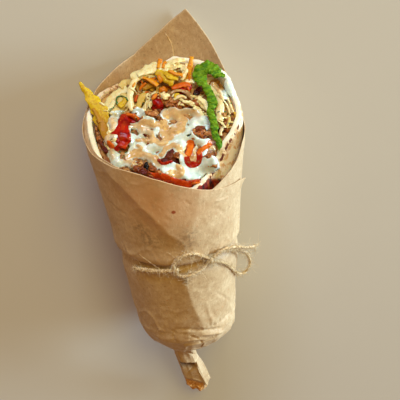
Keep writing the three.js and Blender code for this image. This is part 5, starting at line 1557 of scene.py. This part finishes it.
def build_laid_pieces(materials):
    parts = {slot: [] for slot in ("chicken", "cabbage", "onion", "pepper", "carrot", "tomato", "herb")}

    def lay(slot, points, faces, tone):
        bed.add(points)
        parts[slot].append((points, faces, tone))

    lumps = [(slot, row) for slot, rows in LUMPS.items() for row in rows]
    for seed, (slot, (tone, across, back, *size, heading)) in enumerate(lumps):
        middle = bed.rest(across, back, LUMP_SINK * size[2])
        lay(slot, *lump(middle, size, heading, 200 + 3.7 * seed), tone)
    strips = [(slot, row) for slot, rows in STRIPS for row in rows]
    for seed, (slot, (tone, thickness, lift, widths, *places)) in enumerate(strips):
        path = np.array([bed.rest(*place, lift) for place in places])
        path[:, 2] = 0.5 * path[:, 2] + 0.5 * path[:, 2].mean()
        shape = ribbon(path, widths, thickness, spacing=0.6, roll=12.0 * math.sin(2.6 * seed),
                       ruffle=0.25, waves=1.5, crown=0.08 * max(widths), seed=10 + seed)
        lay(slot, *shape[:2], tone)
    for places in HERB_RING:
        path = [bed.rest(*place, 0.7) for place in places]
        lay("herb", *ribbon(path, [0.7, 0.9, 0.6], 0.5, across=4, seed=1)[:2], 0.0)
    for seed, place in enumerate(HERB_FLECKS):
        size = (0.55 + 0.25 * math.sin(seed), 0.35, 0.25)
        lay("herb", *lump(bed.rest(*place, 0.1), size, 47.0 * seed, seed, rows=5, columns=8), 0.0)
    for slot, pieces in parts.items():
        points, faces = joined([piece[:2] for piece in pieces])
        tones = np.repeat([piece[2] for piece in pieces], [len(piece[0]) for piece in pieces])
        piece = mesh_object("laid_" + slot, from_mouth(points), faces, materials[slot], {"tone": tones})
        keep(piece, "lettuce" if slot == "herb" else slot)


# Small shreds between the large pieces, one joined piece for each kind: slot, seed, the ranges of
# their tone, length and width, thickness, and fields. Each field: middle across and back, reach
# across and back, how many
SCATTER = {
    "cabbage_shreds": ("cabbage", 201, (0.0, 0.9), (3.5, 8), (0.8, 1.7), 0.6, [
        ((-26, 14), (8, 11), 16), ((-8, 17), (11, 9), 22), ((21, 8), (5, 10), 10),
        ((33, -6), (4, 9), 8), ((30, 12), (4, 8), 4), ((0, 31), (16, 5), 16)]),
    "carrot_shreds": ("carrot", 202, (0.1, 0.9), (3, 6), (0.8, 1.3), 0.8, [
        ((-6, 20), (10, 9), 9), ((10, 21), (8, 6), 6)]),
    "onion_bits": ("onion", 203, (0.0, 0.4), (2, 4.5), (0.8, 1.6), 0.8, [
        ((-4, 13), (12, 6), 12), ((14, 8), (6, 6), 8), ((-31, -8), (2, 5), 5)]),
    "chicken_shreds": ("chicken", 204, (0.1, 0.8), (2.5, 5), (1.0, 1.9), 1.2, [
        ((-4, 6), (14, 8), 14), ((-12, -31), (9, 3), 8), ((-36, -6), (3, 9), 8),
        ((33, -8), (3, 6), 6)]),
}
MOUTH_REACH = 39.5
# How much a shred bends, how high it lies over what is under it, and how far it bridges a dip
SHRED_BEND = (-0.2, 0.2)
SHRED_LIFT = (0.0, 0.4)
SHRED_STEP = 0.8
# A shred's four places: share of its half length along, and share of its bend
SHRED_PLACES = ((-1, 0), (-0.4, 0.8), (0.4, 0.8), (1, 0))


def build_scatter(materials):
    for name, (slot, seed, tones, lengths, widths, thickness, fields) in SCATTER.items():
        rng = np.random.default_rng(seed)
        parts, tone_values = [], []
        for middle, reach in (field[:2] for field in fields for _ in range(field[2])):
            turn, distance = rng.uniform(0, 2 * math.pi), math.sqrt(rng.uniform())
            place = np.array(middle) + np.array(reach) * distance * [math.cos(turn), math.sin(turn)]
            heading = rng.uniform(0, 2 * math.pi)
            length, width = rng.uniform(*lengths), rng.uniform(*widths)
            bend, lift, tone = (rng.uniform(*span) for span in (SHRED_BEND, SHRED_LIFT, tones))
            ahead = np.array([math.cos(heading), math.sin(heading)])
            beside = np.array([-ahead[1], ahead[0]])
            places = [place + length * (ahead * s / 2 + beside * b * bend) for s, b in SHRED_PLACES]
            if max(np.hypot(*spot) for spot in places) > MOUTH_REACH:
                continue
            heights = np.array([float(bed.height(*spot)) for spot in places])
            heights = np.minimum(heights, np.median(heights) + SHRED_STEP) + lift
            shape = ribbon(np.column_stack([places, heights]), width * np.array([0.5, 1, 1, 0.5]),
                           thickness, spacing=0.8, across=4, crown=0.12 * width,
                           seed=int(rng.integers(1, 60)))
            parts.append(shape[:2])
            tone_values.append(np.full(len(shape[0]), tone))
        points, faces = joined(parts)
        values = {"tone": np.concatenate(tone_values)}
        keep(mesh_object(name, from_mouth(points), faces, materials[slot], values), slot)
        bed.add(points)


# Sauces: puddles and drizzles draped over what lies in the mouth

# Each stroke: its half width, and its places as seen at SIGHT_HEIGHT
WHITE_STROKES = [
    (2.4, (-26.7, 6.8), (-22.7, 6.2)), (2, (-18, 6.4), (-14.5, 7.2), (-12.5, 4.9)),
    (1.7, (-13, -1), (-10.1, 0.3), (-7, 0)), (1.8, (0.2, 4.6), (-0.3, 2.8)),
    (2.8, (16.4, -3.9), (19.9, -3.6), (23, -6.4)), (1.5, (15.4, -4.8), (14.4, -8)),
    (3, (3.7, -10.3), (8.7, -9.5), (12.6, -11.1)), (2.6, (3.3, -14.6), (9.4, -14.7), (13.5, -14.1)),
    (2.9, (-16.5, -16.3), (-11.8, -18.7), (-5.6, -18.5), (0.7, -16), (6.3, -15.7)),
    (2.3, (-12.1, -22.3), (-8.5, -23.2), (-4.4, -21.5)),
    (2.6, (-19.3, -9.7), (-16.1, -12), (-14.2, -10.8)),
    (2, (-27.4, -18.6), (-23.9, -17.6), (-19.3, -16.6)),
    (3.8, (6.4, -35.4), (12.1, -35.9), (17.6, -34.8), (23.1, -31.6)),
    (2.2, (8.2, -38.5), (14.1, -39.2), (17.6, -38.3)), (2.6, (5.5, -20.3), (7.9, -17.4)),
    (1.8, (20.1, -21.2), (18.7, -25.3), (18.2, -29.5)),
    (2.6, (-2.3, -31.9), (1.6, -32.3), (5.8, -35.1)),
    (2.9, (-30.7, -18.7), (-29.8, -22.4), (-27.4, -25)), (1.8, (7.3, -24.9), (7.8, -30.3), (9, -33.4)),
    (1.6, (16.2, -17.4), (19.5, -18.2), (22.3, -17.7)), (1.3, (-21.4, -12.6), (-19.7, -14.5)),
    (1.7, (-4.1, -5.5), (-6.3, -8.9)), (1.8, (-7.5, -11.7), (-7.7, -14.6)),
    (1.6, (-24, -26.1), (-21.1, -27.9)), (2.5, (37.5, 21.6), (37.3, 16.6), (36.6, 11)),
]
TAN_STROKES = [
    (3.6, (1.9, 2.9), (6.2, 2), (9.2, -2.1), (7.1, -7.8), (2.5, -10.1), (0.1, -12.3)),
    (1.9, (6.2, 2.3), (12.5, 3.2), (17.3, 1.1), (18.6, -1.2)),
    (2.5, (-1.4, -2.9), (-1, -8.2), (-0.5, -11.1)), (2.1, (-6.4, -14.2), (-3.6, -16.7), (-1.6, -15.4)),
    (2.3, (-12, -1.7), (-6.7, -3), (-2.9, -3.5)),
    (2.2, (-21.3, -1.9), (-17.8, -2.1), (-14.2, -3.6), (-13.2, -6.5)),
    (1.6, (-22.2, -4.6), (-20.6, -8.8)), (1.6, (-9.8, -7), (-8.4, -8.6), (-8.1, -11.6)),
    (1.3, (-16.2, -12.8), (-11.3, -12.6), (-8.4, -14.6)),
    (2.3, (-23.7, -22.9), (-18.1, -20.5), (-12.2, -23.5), (-7.6, -26.4), (-5.9, -29.3)),
    (1.1, (-18, -19.8), (-14.8, -18.5), (-16.5, -16.3)), (1.9, (-23.3, -24.9), (-19.8, -27.5)),
    (1.5, (-4.3, -23.8), (-1.6, -20.6), (2.9, -19), (5.8, -20.7), (6.7, -23.8)),
    (2.2, (-0.1, -35.6), (3.5, -37.5), (5.4, -35.8), (4.5, -32.8)),
    (1.4, (8.6, -25.4), (10.5, -27.9), (12.8, -28.9), (14.9, -26.2)),
    (1.4, (-29, -13.2), (-31.2, -17.2), (-30.9, -21.7)),
    (1.3, (15.2, -21.2), (13.5, -23.9), (15.1, -25)), (2.2, (-28.4, 2.8), (-28.4, -2.3), (-28.5, -7.4)),
    (1.3, (-32, -6.9), (-32.9, -10.5), (-31.5, -12.8)),
    (1.6, (22.8, -21.5), (25.1, -22.6), (26.1, -24.1)), (1, (-11.1, -11.2), (-12, -14)),
    (1.6, (29.3, 19.2), (31.9, 14.3), (32, 9.7)),
]
RED_STROKES = [
    (1.9, (12.2, -17.8), (12.2, -20.8), (11, -24.4)),
    (1.5, (9.3, -27.8), (9.7, -30.5), (12, -32.4), (14.8, -31.8), (16.3, -28.6), (16.4, -25)),
    (1.4, (16.6, -24.6), (17.9, -22.9), (21.6, -21.4), (23.4, -18.9)),
    (1.8, (11.6, -31.5), (13.8, -31.4)), (1.3, (-31.6, -12.2), (-30.4, -14.8)),
    (1.1, (-26.7, -14.9), (-28.2, -16.4)), (1.2, (-5.6, -27.4), (-3.6, -29.5), (0.6, -29.5)),
    (1.3, (-20.2, 5.5), (-17.8, 4.3), (-14.9, 2)),
]
RIM_STROKES = [
    (2.1, (-10.3, -35.8), (-5, -37.5), (0.8, -40.1), (6.5, -43.2), (11, -45.6), (15.1, -46.7)),
    (1.7, (10.6, -42.8), (13.8, -42.5), (15.5, -44.1)),
]
# Where pieces show through the white sauce: place as seen at SIGHT_HEIGHT, and radius
HOLES = [
    (-12, -7.3, 2), (-18.4, -6.7, 0.8), (-10.5, -14.3, 1.5), (11.7, -13.7, 0.8), (3.9, -11.2, 0.7),
    (-5.1, -11, 0.8), (16.5, -11.6, 2), (19.6, -11.7, 2), (22.2, -12.7, 2), (21.2, -27.6, 1.8),
    (24.5, -26.6, 1.8), (-2.8, -27.1, 2.2), (0.9, -26.2, 2.8), (3.8, -25.1, 2), (-25.4, -21.4, 1.4),
    (-26.7, -18.1, 0.6), (12.6, -13.3, 0.7),
]
# Where the tomato shows through both sauces
TOMATO_OPENING = (3.9, (-20.8, 4.4), (-22.8, 0.4), (-23.3, -4), (-23.7, -9), (-24.9, -15.6))
ORANGE_STROKES = (0, 2, 4, 7)
RIM_TONE = 0.2
# The dip that the sauce leaves under the leaf: half width and depth
LEAF_SHADE = 2.8
LEAF_DIP = 1.6

FIELD_STEP = 0.35
FIELD_ACROSS = np.arange(-40.0, 42.0, FIELD_STEP)
FIELD_BACK = np.arange(-48.0, 26.0, FIELD_STEP)
STROKE_SHARPNESS = 5.0
STROKE_WOBBLE = [(0.2, (3.0, 3.0, 1.0)), (0.12, (1.3, 1.3, 1.0))]
HOLE_STEEPNESS = 1.6
HOLE_EDGE = 0.02
WALL_SOFTNESS = 1.6
PAPER_CLEARANCE = 1.6
# A sheet of sauce ends where its level is this low, and dives down towards that edge
LOWEST_LEVEL = -0.3
EDGE_DIVE = 2.6
SHEET_FOOT = 0.4
# How the sauces lie on the blurred filling: height of the white one, of a tan one's body and of
# its middle, of the red one and of the one on the rim, and slow waves in all of them
WHITE_HEIGHT = 1.1
TAN_HEIGHTS = (0.5, 0.6)
RED_HEIGHT = 0.7
RIM_SAUCE_HEIGHT = 0.9
FLOW = [(1.1, (6.0, 3.2, 1.0), 420), (0.35, 2.4, 421)]
GROUND_BLUR = 28
DETAIL_BLUR = 5
DETAIL_SINK = 0.7
SOFT_EDGE_BLUR = 16


def opened(inside):
    """The level of a sauce at a hole in it, from how far inside the hole a place is."""
    return HOLE_EDGE - HOLE_STEEPNESS * inside


def stroke_share(stroke, across, back, seed):
    """1 in the middle of a stroke and 0 at its edge, negative outside it."""
    half_width, *places = stroke
    path = smooth_path([(x, y, 0.0) for x, y in places], 0.8)
    nearest = np.full_like(across, np.inf)
    for start, end in zip(path[:-1], path[1:]):
        step = (end - start)[:2]
        share = ((across - start[0]) * step[0] + (back - start[1]) * step[1]) / (step @ step)
        share = np.clip(share, 0.0, 1.0)
        nearest = np.minimum(nearest, np.hypot(across - start[0] - share * step[0],
                                               back - start[1] - share * step[1]))
    place = np.stack([across, back, 0 * back], axis=-1)
    wobble = 1.0 + layered(place, [(*layer, seed) for layer in STROKE_WOBBLE])
    return 1.0 - nearest / (half_width * wobble)


def pool(strokes, holes, across, back, seed):
    """How thick the strokes together lie at each place, as a share: below 0 outside them."""
    total = np.zeros_like(across)
    for i, stroke in enumerate(strokes):
        share = stroke_share(stroke, across, back, seed + i)
        total += np.exp(STROKE_SHARPNESS * np.clip(share, -2.0, 1.0))
    merged = np.log(total) / STROKE_SHARPNESS
    for x, y, radius in holes:
        merged = np.minimum(merged, opened(1.0 - np.hypot(across - x, back - y) / radius))
    return merged


def blurred(field, rounds):
    for _ in range(rounds):
        padded = np.pad(field, 1, mode="edge")
        field = (padded[1:-1, 1:-1] * 2 + padded[:-2, 1:-1] + padded[2:, 1:-1] + padded[1:-1, :-2]
                 + padded[1:-1, 2:]) / 6.0
    return field


def rounded(level):
    level = np.clip(level, 0.0, 1.0)
    return np.sqrt(level * (2.0 - level))


def sauce_sheet(name, material, level, top, thickness, slot, nodes, values):
    """A closed sheet where the level is over its lowest, which dives down at its edge."""
    inside = level > LOWEST_LEVEL
    cells = inside[:-1, :-1] & inside[1:, :-1] & inside[:-1, 1:] & inside[1:, 1:]
    back, across = np.meshgrid(FIELD_BACK, FIELD_ACROSS, indexing="ij")
    height = top + np.minimum(level, 0.0) * EDGE_DIVE * thickness
    upper = np.stack([across, back, height], axis=-1).reshape(-1, 3)
    lower = upper - [0.0, 0.0, thickness + SHEET_FOOT]
    columns, count = len(FIELD_ACROSS), len(upper)
    row, column = np.nonzero(cells)
    corner = row * columns + column
    quads = np.stack([corner, corner + 1, corner + columns + 1, corner + columns], axis=-1)
    # An edge that two quads share is met once each way, so only the border's edges are left
    edges = {}
    for a, b, c, d in quads.tolist():
        for edge in ((a, b), (b, c), (c, d), (d, a)):
            if edges.pop(edge[::-1], None) is None:
                edges[edge] = True
    sides = np.array([[b, a, a + count, b + count] for a, b in edges])
    used, faces = np.unique(np.vstack([quads, quads[:, ::-1] + count, sides]), return_inverse=True)
    points = np.vstack([upper, lower])[used]
    given = {label: np.tile(value.ravel(), 2)[used] for label, value in values.items()}
    piece = mesh_object(name, from_mouth(points), faces.reshape(-1, 4).tolist(), material, given)
    keep(piece, slot, *nodes)


def wall_margin(across, back, height):
    """How far each point of the field is inside the bread, or inside the paper above the bread."""
    x, y, z = np.moveaxis(from_mouth(np.stack([across, back, height], axis=-1)), -1, 0)
    up = z - cone_radius(y) + FLOOR_PRESS
    angle = np.degrees(np.arctan2(x, up))
    wall = BREAD_INSET + BREAD_WALL + LEAN_SWELLING + bread_lean(angle, y)
    inset = np.where(y < bread_edge_y(angle) + 0.5, wall, PAPER_CLEARANCE)
    return cone_radius(y) - inset - np.hypot(x, up)


# A blob of sauce on the inside of the bread's rim: degrees from the top, and its radius
RIM_BLOB = np.array([[107.5, 0.8], [109.5, 2.0], [112, 2.5], [114.5, 2.5], [117, 2.1], [119, 0.8]])
RIM_BLOB_DEPTH = 2.6
RIM_BLOB_BELOW = 0.9
RIM_BLOB_RELIEF = (0.25, 2.4, 431)


def build_rim_blob():
    angle, radii = RIM_BLOB.T
    path = bread_point(angle, bread_edge_y(angle) - RIM_BLOB_BELOW, RIM_BLOB_DEPTH)
    path = smooth_path(path, 0.3)
    stops = np.linspace(0.0, 1.0, len(angle))
    points, faces = tube(path, np.interp(np.linspace(0.0, 1.0, len(path)), stops, radii), 24)
    points = points + layered(points, [RIM_BLOB_RELIEF])[:, None] * np.array([1.0, 0.4, 1.0])
    plain = np.zeros(len(points))
    piece = mesh_object("sauce_on_rim", points, faces, finished("garlic_sauce"),
                        {"tan": plain, "painted_hollow_shade": plain})
    return keep(piece, "garlic_sauce")


def build_sauces():
    back, across = np.meshgrid(FIELD_BACK, FIELD_ACROSS, indexing="ij")
    bare = bed.height(across, back)
    ground = np.maximum(blurred(bare, GROUND_BLUR), blurred(bare, DETAIL_BLUR) - DETAIL_SINK)
    seen = [place - (ground - SIGHT_HEIGHT) * slip
            for place, slip in zip((across, back), LINE_OF_SIGHT)]
    wall = wall_margin(across, back, ground + 0.8) / WALL_SOFTNESS
    closed = np.minimum(wall, opened(stroke_share(TOMATO_OPENING, *seen, 432)))
    white = np.minimum(pool(WHITE_STROKES, HOLES, *seen, 300), closed)
    tan = np.minimum(pool(TAN_STROKES, [], *seen, 340), closed)
    red = np.minimum(pool(RED_STROKES, [], *seen, 380), wall)
    rim = np.minimum(pool(RIM_STROKES, [], *seen, 400), wall)
    orange = pool([RED_STROKES[i] for i in ORANGE_STROKES], [], *seen, 380)

    flat = np.stack([across, back, 0 * back], axis=-1)
    tan_body, tan_middle = TAN_HEIGHTS
    thick = (WHITE_HEIGHT * rounded(white) + tan_body * smoothstep(tan, -0.1, 0.9)
             + tan_middle * rounded(tan))
    flow = layered(flat, FLOW)
    leaf = (LEAF_SHADE, *(place[:2] for place in LETTUCE_PATH))
    under_leaf = smoothstep(stroke_share(leaf, *seen, 430), 0.0, 0.5)
    top = blurred(ground + thick + flow - LEAF_DIP * under_leaf, 2)
    soft = smoothstep(noise(flat, 6.0, 422), -0.1, 0.3)
    soft_edge = blurred(smoothstep(tan, -0.1, 0.5), SOFT_EDGE_BLUR)
    # The tan sauce's share, and painted shade where the flow dips into hollows
    shades = {"tan": blend(smoothstep(tan, -0.06, 0.16), soft_edge, soft),
              "painted_hollow_shade": smoothstep(-flow, 0.1, 0.7)}
    build_rim_blob()
    sauce_sheet("garlic_pool", finished("garlic_sauce"), np.maximum(white, tan), top, 1.0,
                "garlic_sauce", ["garlic_sauce"], shades)
    chilli = finished("chilli_sauce")
    sauce_sheet("red_drizzle", chilli, red, blurred(top + RED_HEIGHT * rounded(red), 1), 0.8,
                "chilli_sauce", [], {"tone": smoothstep(orange, -0.1, 0.2)})
    sauce_sheet("chilli_rim", chilli, rim, ground + RIM_SAUCE_HEIGHT * rounded(rim), 0.9,
                "chilli_sauce", ["chilli_sauce"], {"tone": np.full_like(rim, RIM_TONE)})


# Twine

BAND_RADIUS = 0.9
TWINE_RADIUS = 0.82
# Three strands: the length of a turn, and as shares of the twine's radius how far out each runs
# and how thick it is. Where an end is frayed they open, and get thinner
STRAND_PITCH = 4.6
STRAND_OUT = 0.5
STRAND_SIZE = 0.56
STRAND_WANDER = 0.12
STRAND_OPENS = 0.5
STRAND_THINS = 0.6
# Routes over the cone: degrees from the top, place along Y, height over the cone
KNOT = (27.0, -17.6, 1.5)
# Each route: its places, the twine's radius, and how much of its end is frayed
BOW_ROUTES = {
    "left_loop": ([KNOT, (18, -12, 1.5), (9, -8.8, 1.4), (-1, -10.6, 1.3), (-7, -16.4, 1.3),
                   (-3.6, -23.4, 1.9), (7, -24.4, 2.5), (18, -21.4, 2.1), KNOT], 0.92, 0.0),
    "right_loop": ([KNOT, (35, -14.6, 2.2), (47, -16.6, 3.4), (61.5, -23, 5.2), (71, -31, 7.2),
                    (74, -38.6, 8.4), (73, -44.4, 6.2), (67, -43.6, 3.0), (55, -35, 1.5),
                    (42, -25.4, 1.6), KNOT], 0.86, 0.0),
    "left_end": ([(-3.5, -19.6, 1.2), (-9, -20, 1.3), (-16, -20.4, 1.2), (-32, -21.2, 1.2),
                  (-48, -22.6, 1.4)], 1.15, 7.0),
    "right_end": ([KNOT, (37, -13.4, 2.8), (50.5, -15.4, 4.8), (62.5, -20.6, 8.4), (73, -25, 11.4)],
                  0.85, 3.0),
    "short_end": ([(7, -22, 1.6), (4.4, -26, 1.4), (2, -30, 1.4)], 0.85, 5.0),
}
# How far the band is off the waist's bottom, all round
BAND_HEIGHTS = np.array([(-180, -2.3), (-130, -1.9), (-100, -1.8), (0, -1.8), (20, -1.1), (27, 0.5),
                         (36, -0.9), (60, -1.2), (90, -1.7), (180, -2.3)])
KNOT_TURNS = 3
KNOT_RADIUS = 1.5
FIBRES_PER_MM = 5.0
FIBRE_RADIUS = 0.1
FIBRE_CLEARANCE = 0.45
FRAY_FIBRES = 30
# Lengths of the fibres: those at a frayed end, most others, and the share and lengths of the rest
FRAY_LENGTHS = (1.5, 4.0)
SHORT_LENGTHS = (1.0, 3.2)
SHORT_SHARE = 0.88
LONG_LENGTHS = (3.2, 7.0)
# How dense the fibres are on the band, on the bow and on the knot
BAND_FUZZ = 0.5
BOW_FUZZ = 2.0
LEFT_LOOP_FUZZ = 2.6
KNOT_FUZZ = 4.0
ROUTE_SPACING = 0.6
STRAY_THREAD = [(-37.7, -10.2, 0.9), (-28.6, -14.5, 1.0), (-20.0, -19.2, 0.9)]


def frames_along(path):
    """Two directions square to a path, turning as little as they can along it."""
    along = unit(np.gradient(path, axis=0))
    normal = unit(np.cross(along[0], [0.03, 0.02, 1.0]))
    first = []
    for tangent in along:
        normal = unit(normal - tangent * (normal @ tangent))
        first.append(normal)
    first = np.array(first)
    return first, np.cross(along, first)


def tube(path, radii, sides):
    first, second = frames_along(path)
    turn = np.linspace(0.0, 2.0 * np.pi, sides, endpoint=False)[None, :, None]
    ring = first[:, None, :] * np.cos(turn) + second[:, None, :] * np.sin(turn)
    return capped(path[:, None, :] + ring * np.asarray(radii)[:, None, None])


def cord(path, radius, seed, fray=0.0):
    """Three strands twisted round each other, that open over the last part of a frayed end."""
    first, second = frames_along(path)
    steps = np.linalg.norm(np.diff(path, axis=0), axis=1)
    length = np.concatenate([[0.0], np.cumsum(steps)])
    opened_share = smoothstep(length, length[-1] - fray, length[-1]) if fray else 0.0 * length
    twisted = np.minimum(length, length[-1] - 0.5 * fray)
    parts = []
    for strand in range(3):
        station = np.stack([length, length * 0 + strand, length * 0], axis=-1)
        wander = noise(station, (3.0, 1, 1), seed)
        phase = (2.0 * np.pi * (strand / 3.0 + twisted / STRAND_PITCH) + 0.5 * wander)[:, None]
        out = radius * (STRAND_OUT + STRAND_WANDER * wander + STRAND_OPENS * opened_share)
        centre = path + (first * np.cos(phase) + second * np.sin(phase)) * out[:, None]
        uneven = 0.1 * noise(station, (2.0, 1, 1), seed + 5)
        thick = radius * (STRAND_SIZE + uneven) * (1.0 - STRAND_THINS * opened_share)
        parts.append(tube(centre, thick, 7))
    return parts


def route_path(route, spacing):
    stations = smooth_path(route, 0.2)
    return evenly(on_cone(stations[:, 0], stations[:, 1], stations[:, 2]), spacing)


def band_path():
    turn = np.linspace(KNOT[0], KNOT[0] + 360.0, 181)
    angle = from_top(turn)
    lowest = -WAIST_DEPTH - WAIST_DEPTH_UNDER + BAND_RADIUS + 0.5
    sunk = blend(looked_up(BAND_HEIGHTS, angle), lowest, underside(angle))
    return evenly(on_cone(angle, TWINE_Y - 0.6, sunk, BAND_RADIUS), 0.7)


def outside_wrap(points, clearance):
    """The points moved off the wrap and off the floor where they would be inside."""
    x, y, z = points.T
    up = z - cone_radius(y) + FLOOR_PRESS
    distance = np.hypot(x, up)
    least = cone_radius(y) + clearance - waist_depth(0.0, y)
    push = np.maximum(least - distance, 0.0) / np.maximum(distance, 1e-6)
    return np.stack([x + x * push, y, np.maximum(z + up * push, 0.1)], axis=-1)


def fibre(rng, start, length, thick):
    heading, bend = unit(rng.normal(size=3)), unit(rng.normal(size=3))
    curve, curl = rng.uniform(0.2, 0.9), rng.uniform(0.0, 0.3)
    share = np.linspace(0.0, 1.0, 7)[:, None]
    turned = np.cross(heading, bend)
    path = start + length * (heading * share + bend * curve * share ** 2
                             + turned * curl * np.sin(5.0 * share))
    return tube(outside_wrap(path, FIBRE_CLEARANCE), np.linspace(thick, 0.4 * thick, 7), 3)


def build_twine():
    rng = np.random.default_rng(77)
    band = band_path()
    parts = cord(band, BAND_RADIUS, 400)
    # Where loose fibres stand off: a path, the twine's radius there and how dense they are
    fuzzy = [(band, BAND_RADIUS, BAND_FUZZ)]
    hairs = []
    for index, (name, (route, radius, fray)) in enumerate(BOW_ROUTES.items()):
        path = route_path(route, ROUTE_SPACING)
        parts += cord(path, radius, 410 + 10 * index, fray)
        fuzzy.append((path, radius, LEFT_LOOP_FUZZ if name == "left_loop" else BOW_FUZZ))
        if fray:
            last = path[-int(fray / ROUTE_SPACING):]
            for _ in range(FRAY_FIBRES):
                start = last[rng.integers(0, len(last))] + rng.normal(size=3) * 0.5
                hairs.append(fibre(rng, start, rng.uniform(*FRAY_LENGTHS), 1.4 * FIBRE_RADIUS))
    middle = on_cone(*KNOT)
    phase = np.linspace(0.0, 2.0 * np.pi, 25)[:, None]
    for index in range(KNOT_TURNS):
        tilt = rng.uniform(-0.5, 0.5) + index * 1.05
        across = np.array([math.cos(tilt), math.sin(tilt), 0.0])
        up = unit(np.array([0.3 * math.sin(index), 0.2, 1.0]))
        loop = middle + KNOT_RADIUS * (np.cos(phase) * across + np.sin(phase) * up)
        loop = evenly(loop + 0.5 * rng.normal(size=3), 0.5)
        parts += cord(loop, TWINE_RADIUS, 470 + index)
        fuzzy.append((loop, TWINE_RADIUS, KNOT_FUZZ))
    keep(mesh_object("jute_twine", *joined(parts), finished("jute_twine")), "twine", "twine")

    for path, radius, density in fuzzy:
        around = np.linalg.norm(np.diff(path, axis=0), axis=1).sum()
        for _ in range(int(around * FIBRES_PER_MM * density)):
            start = path[rng.integers(0, len(path))] + unit(rng.normal(size=3)) * radius * 0.6
            lengths = SHORT_LENGTHS if rng.uniform() < SHORT_SHARE else LONG_LENGTHS
            hairs.append(fibre(rng, start, rng.uniform(*lengths), FIBRE_RADIUS))
    stray = route_path(STRAY_THREAD, 1.0)
    hairs.append(tube(stray, np.full(len(stray), 0.14), 4))
    keep(mesh_object("loose_fibres", *joined(hairs), finished("loose_fibres")), "twine")


# Putting it together

add_camera()
add_stage()
build_paper()
build_inner_layer()
build_torn_layers()
build_flap_crease()
build_bread()
build_filling_core()
food = {slot: finished(name) for slot, name in FOOD_FINISHES.items()}
build_large_toppings(food)
build_scatter(food)
build_laid_pieces(food)
build_sauces()
build_lettuce(food["lettuce"])
build_twine()
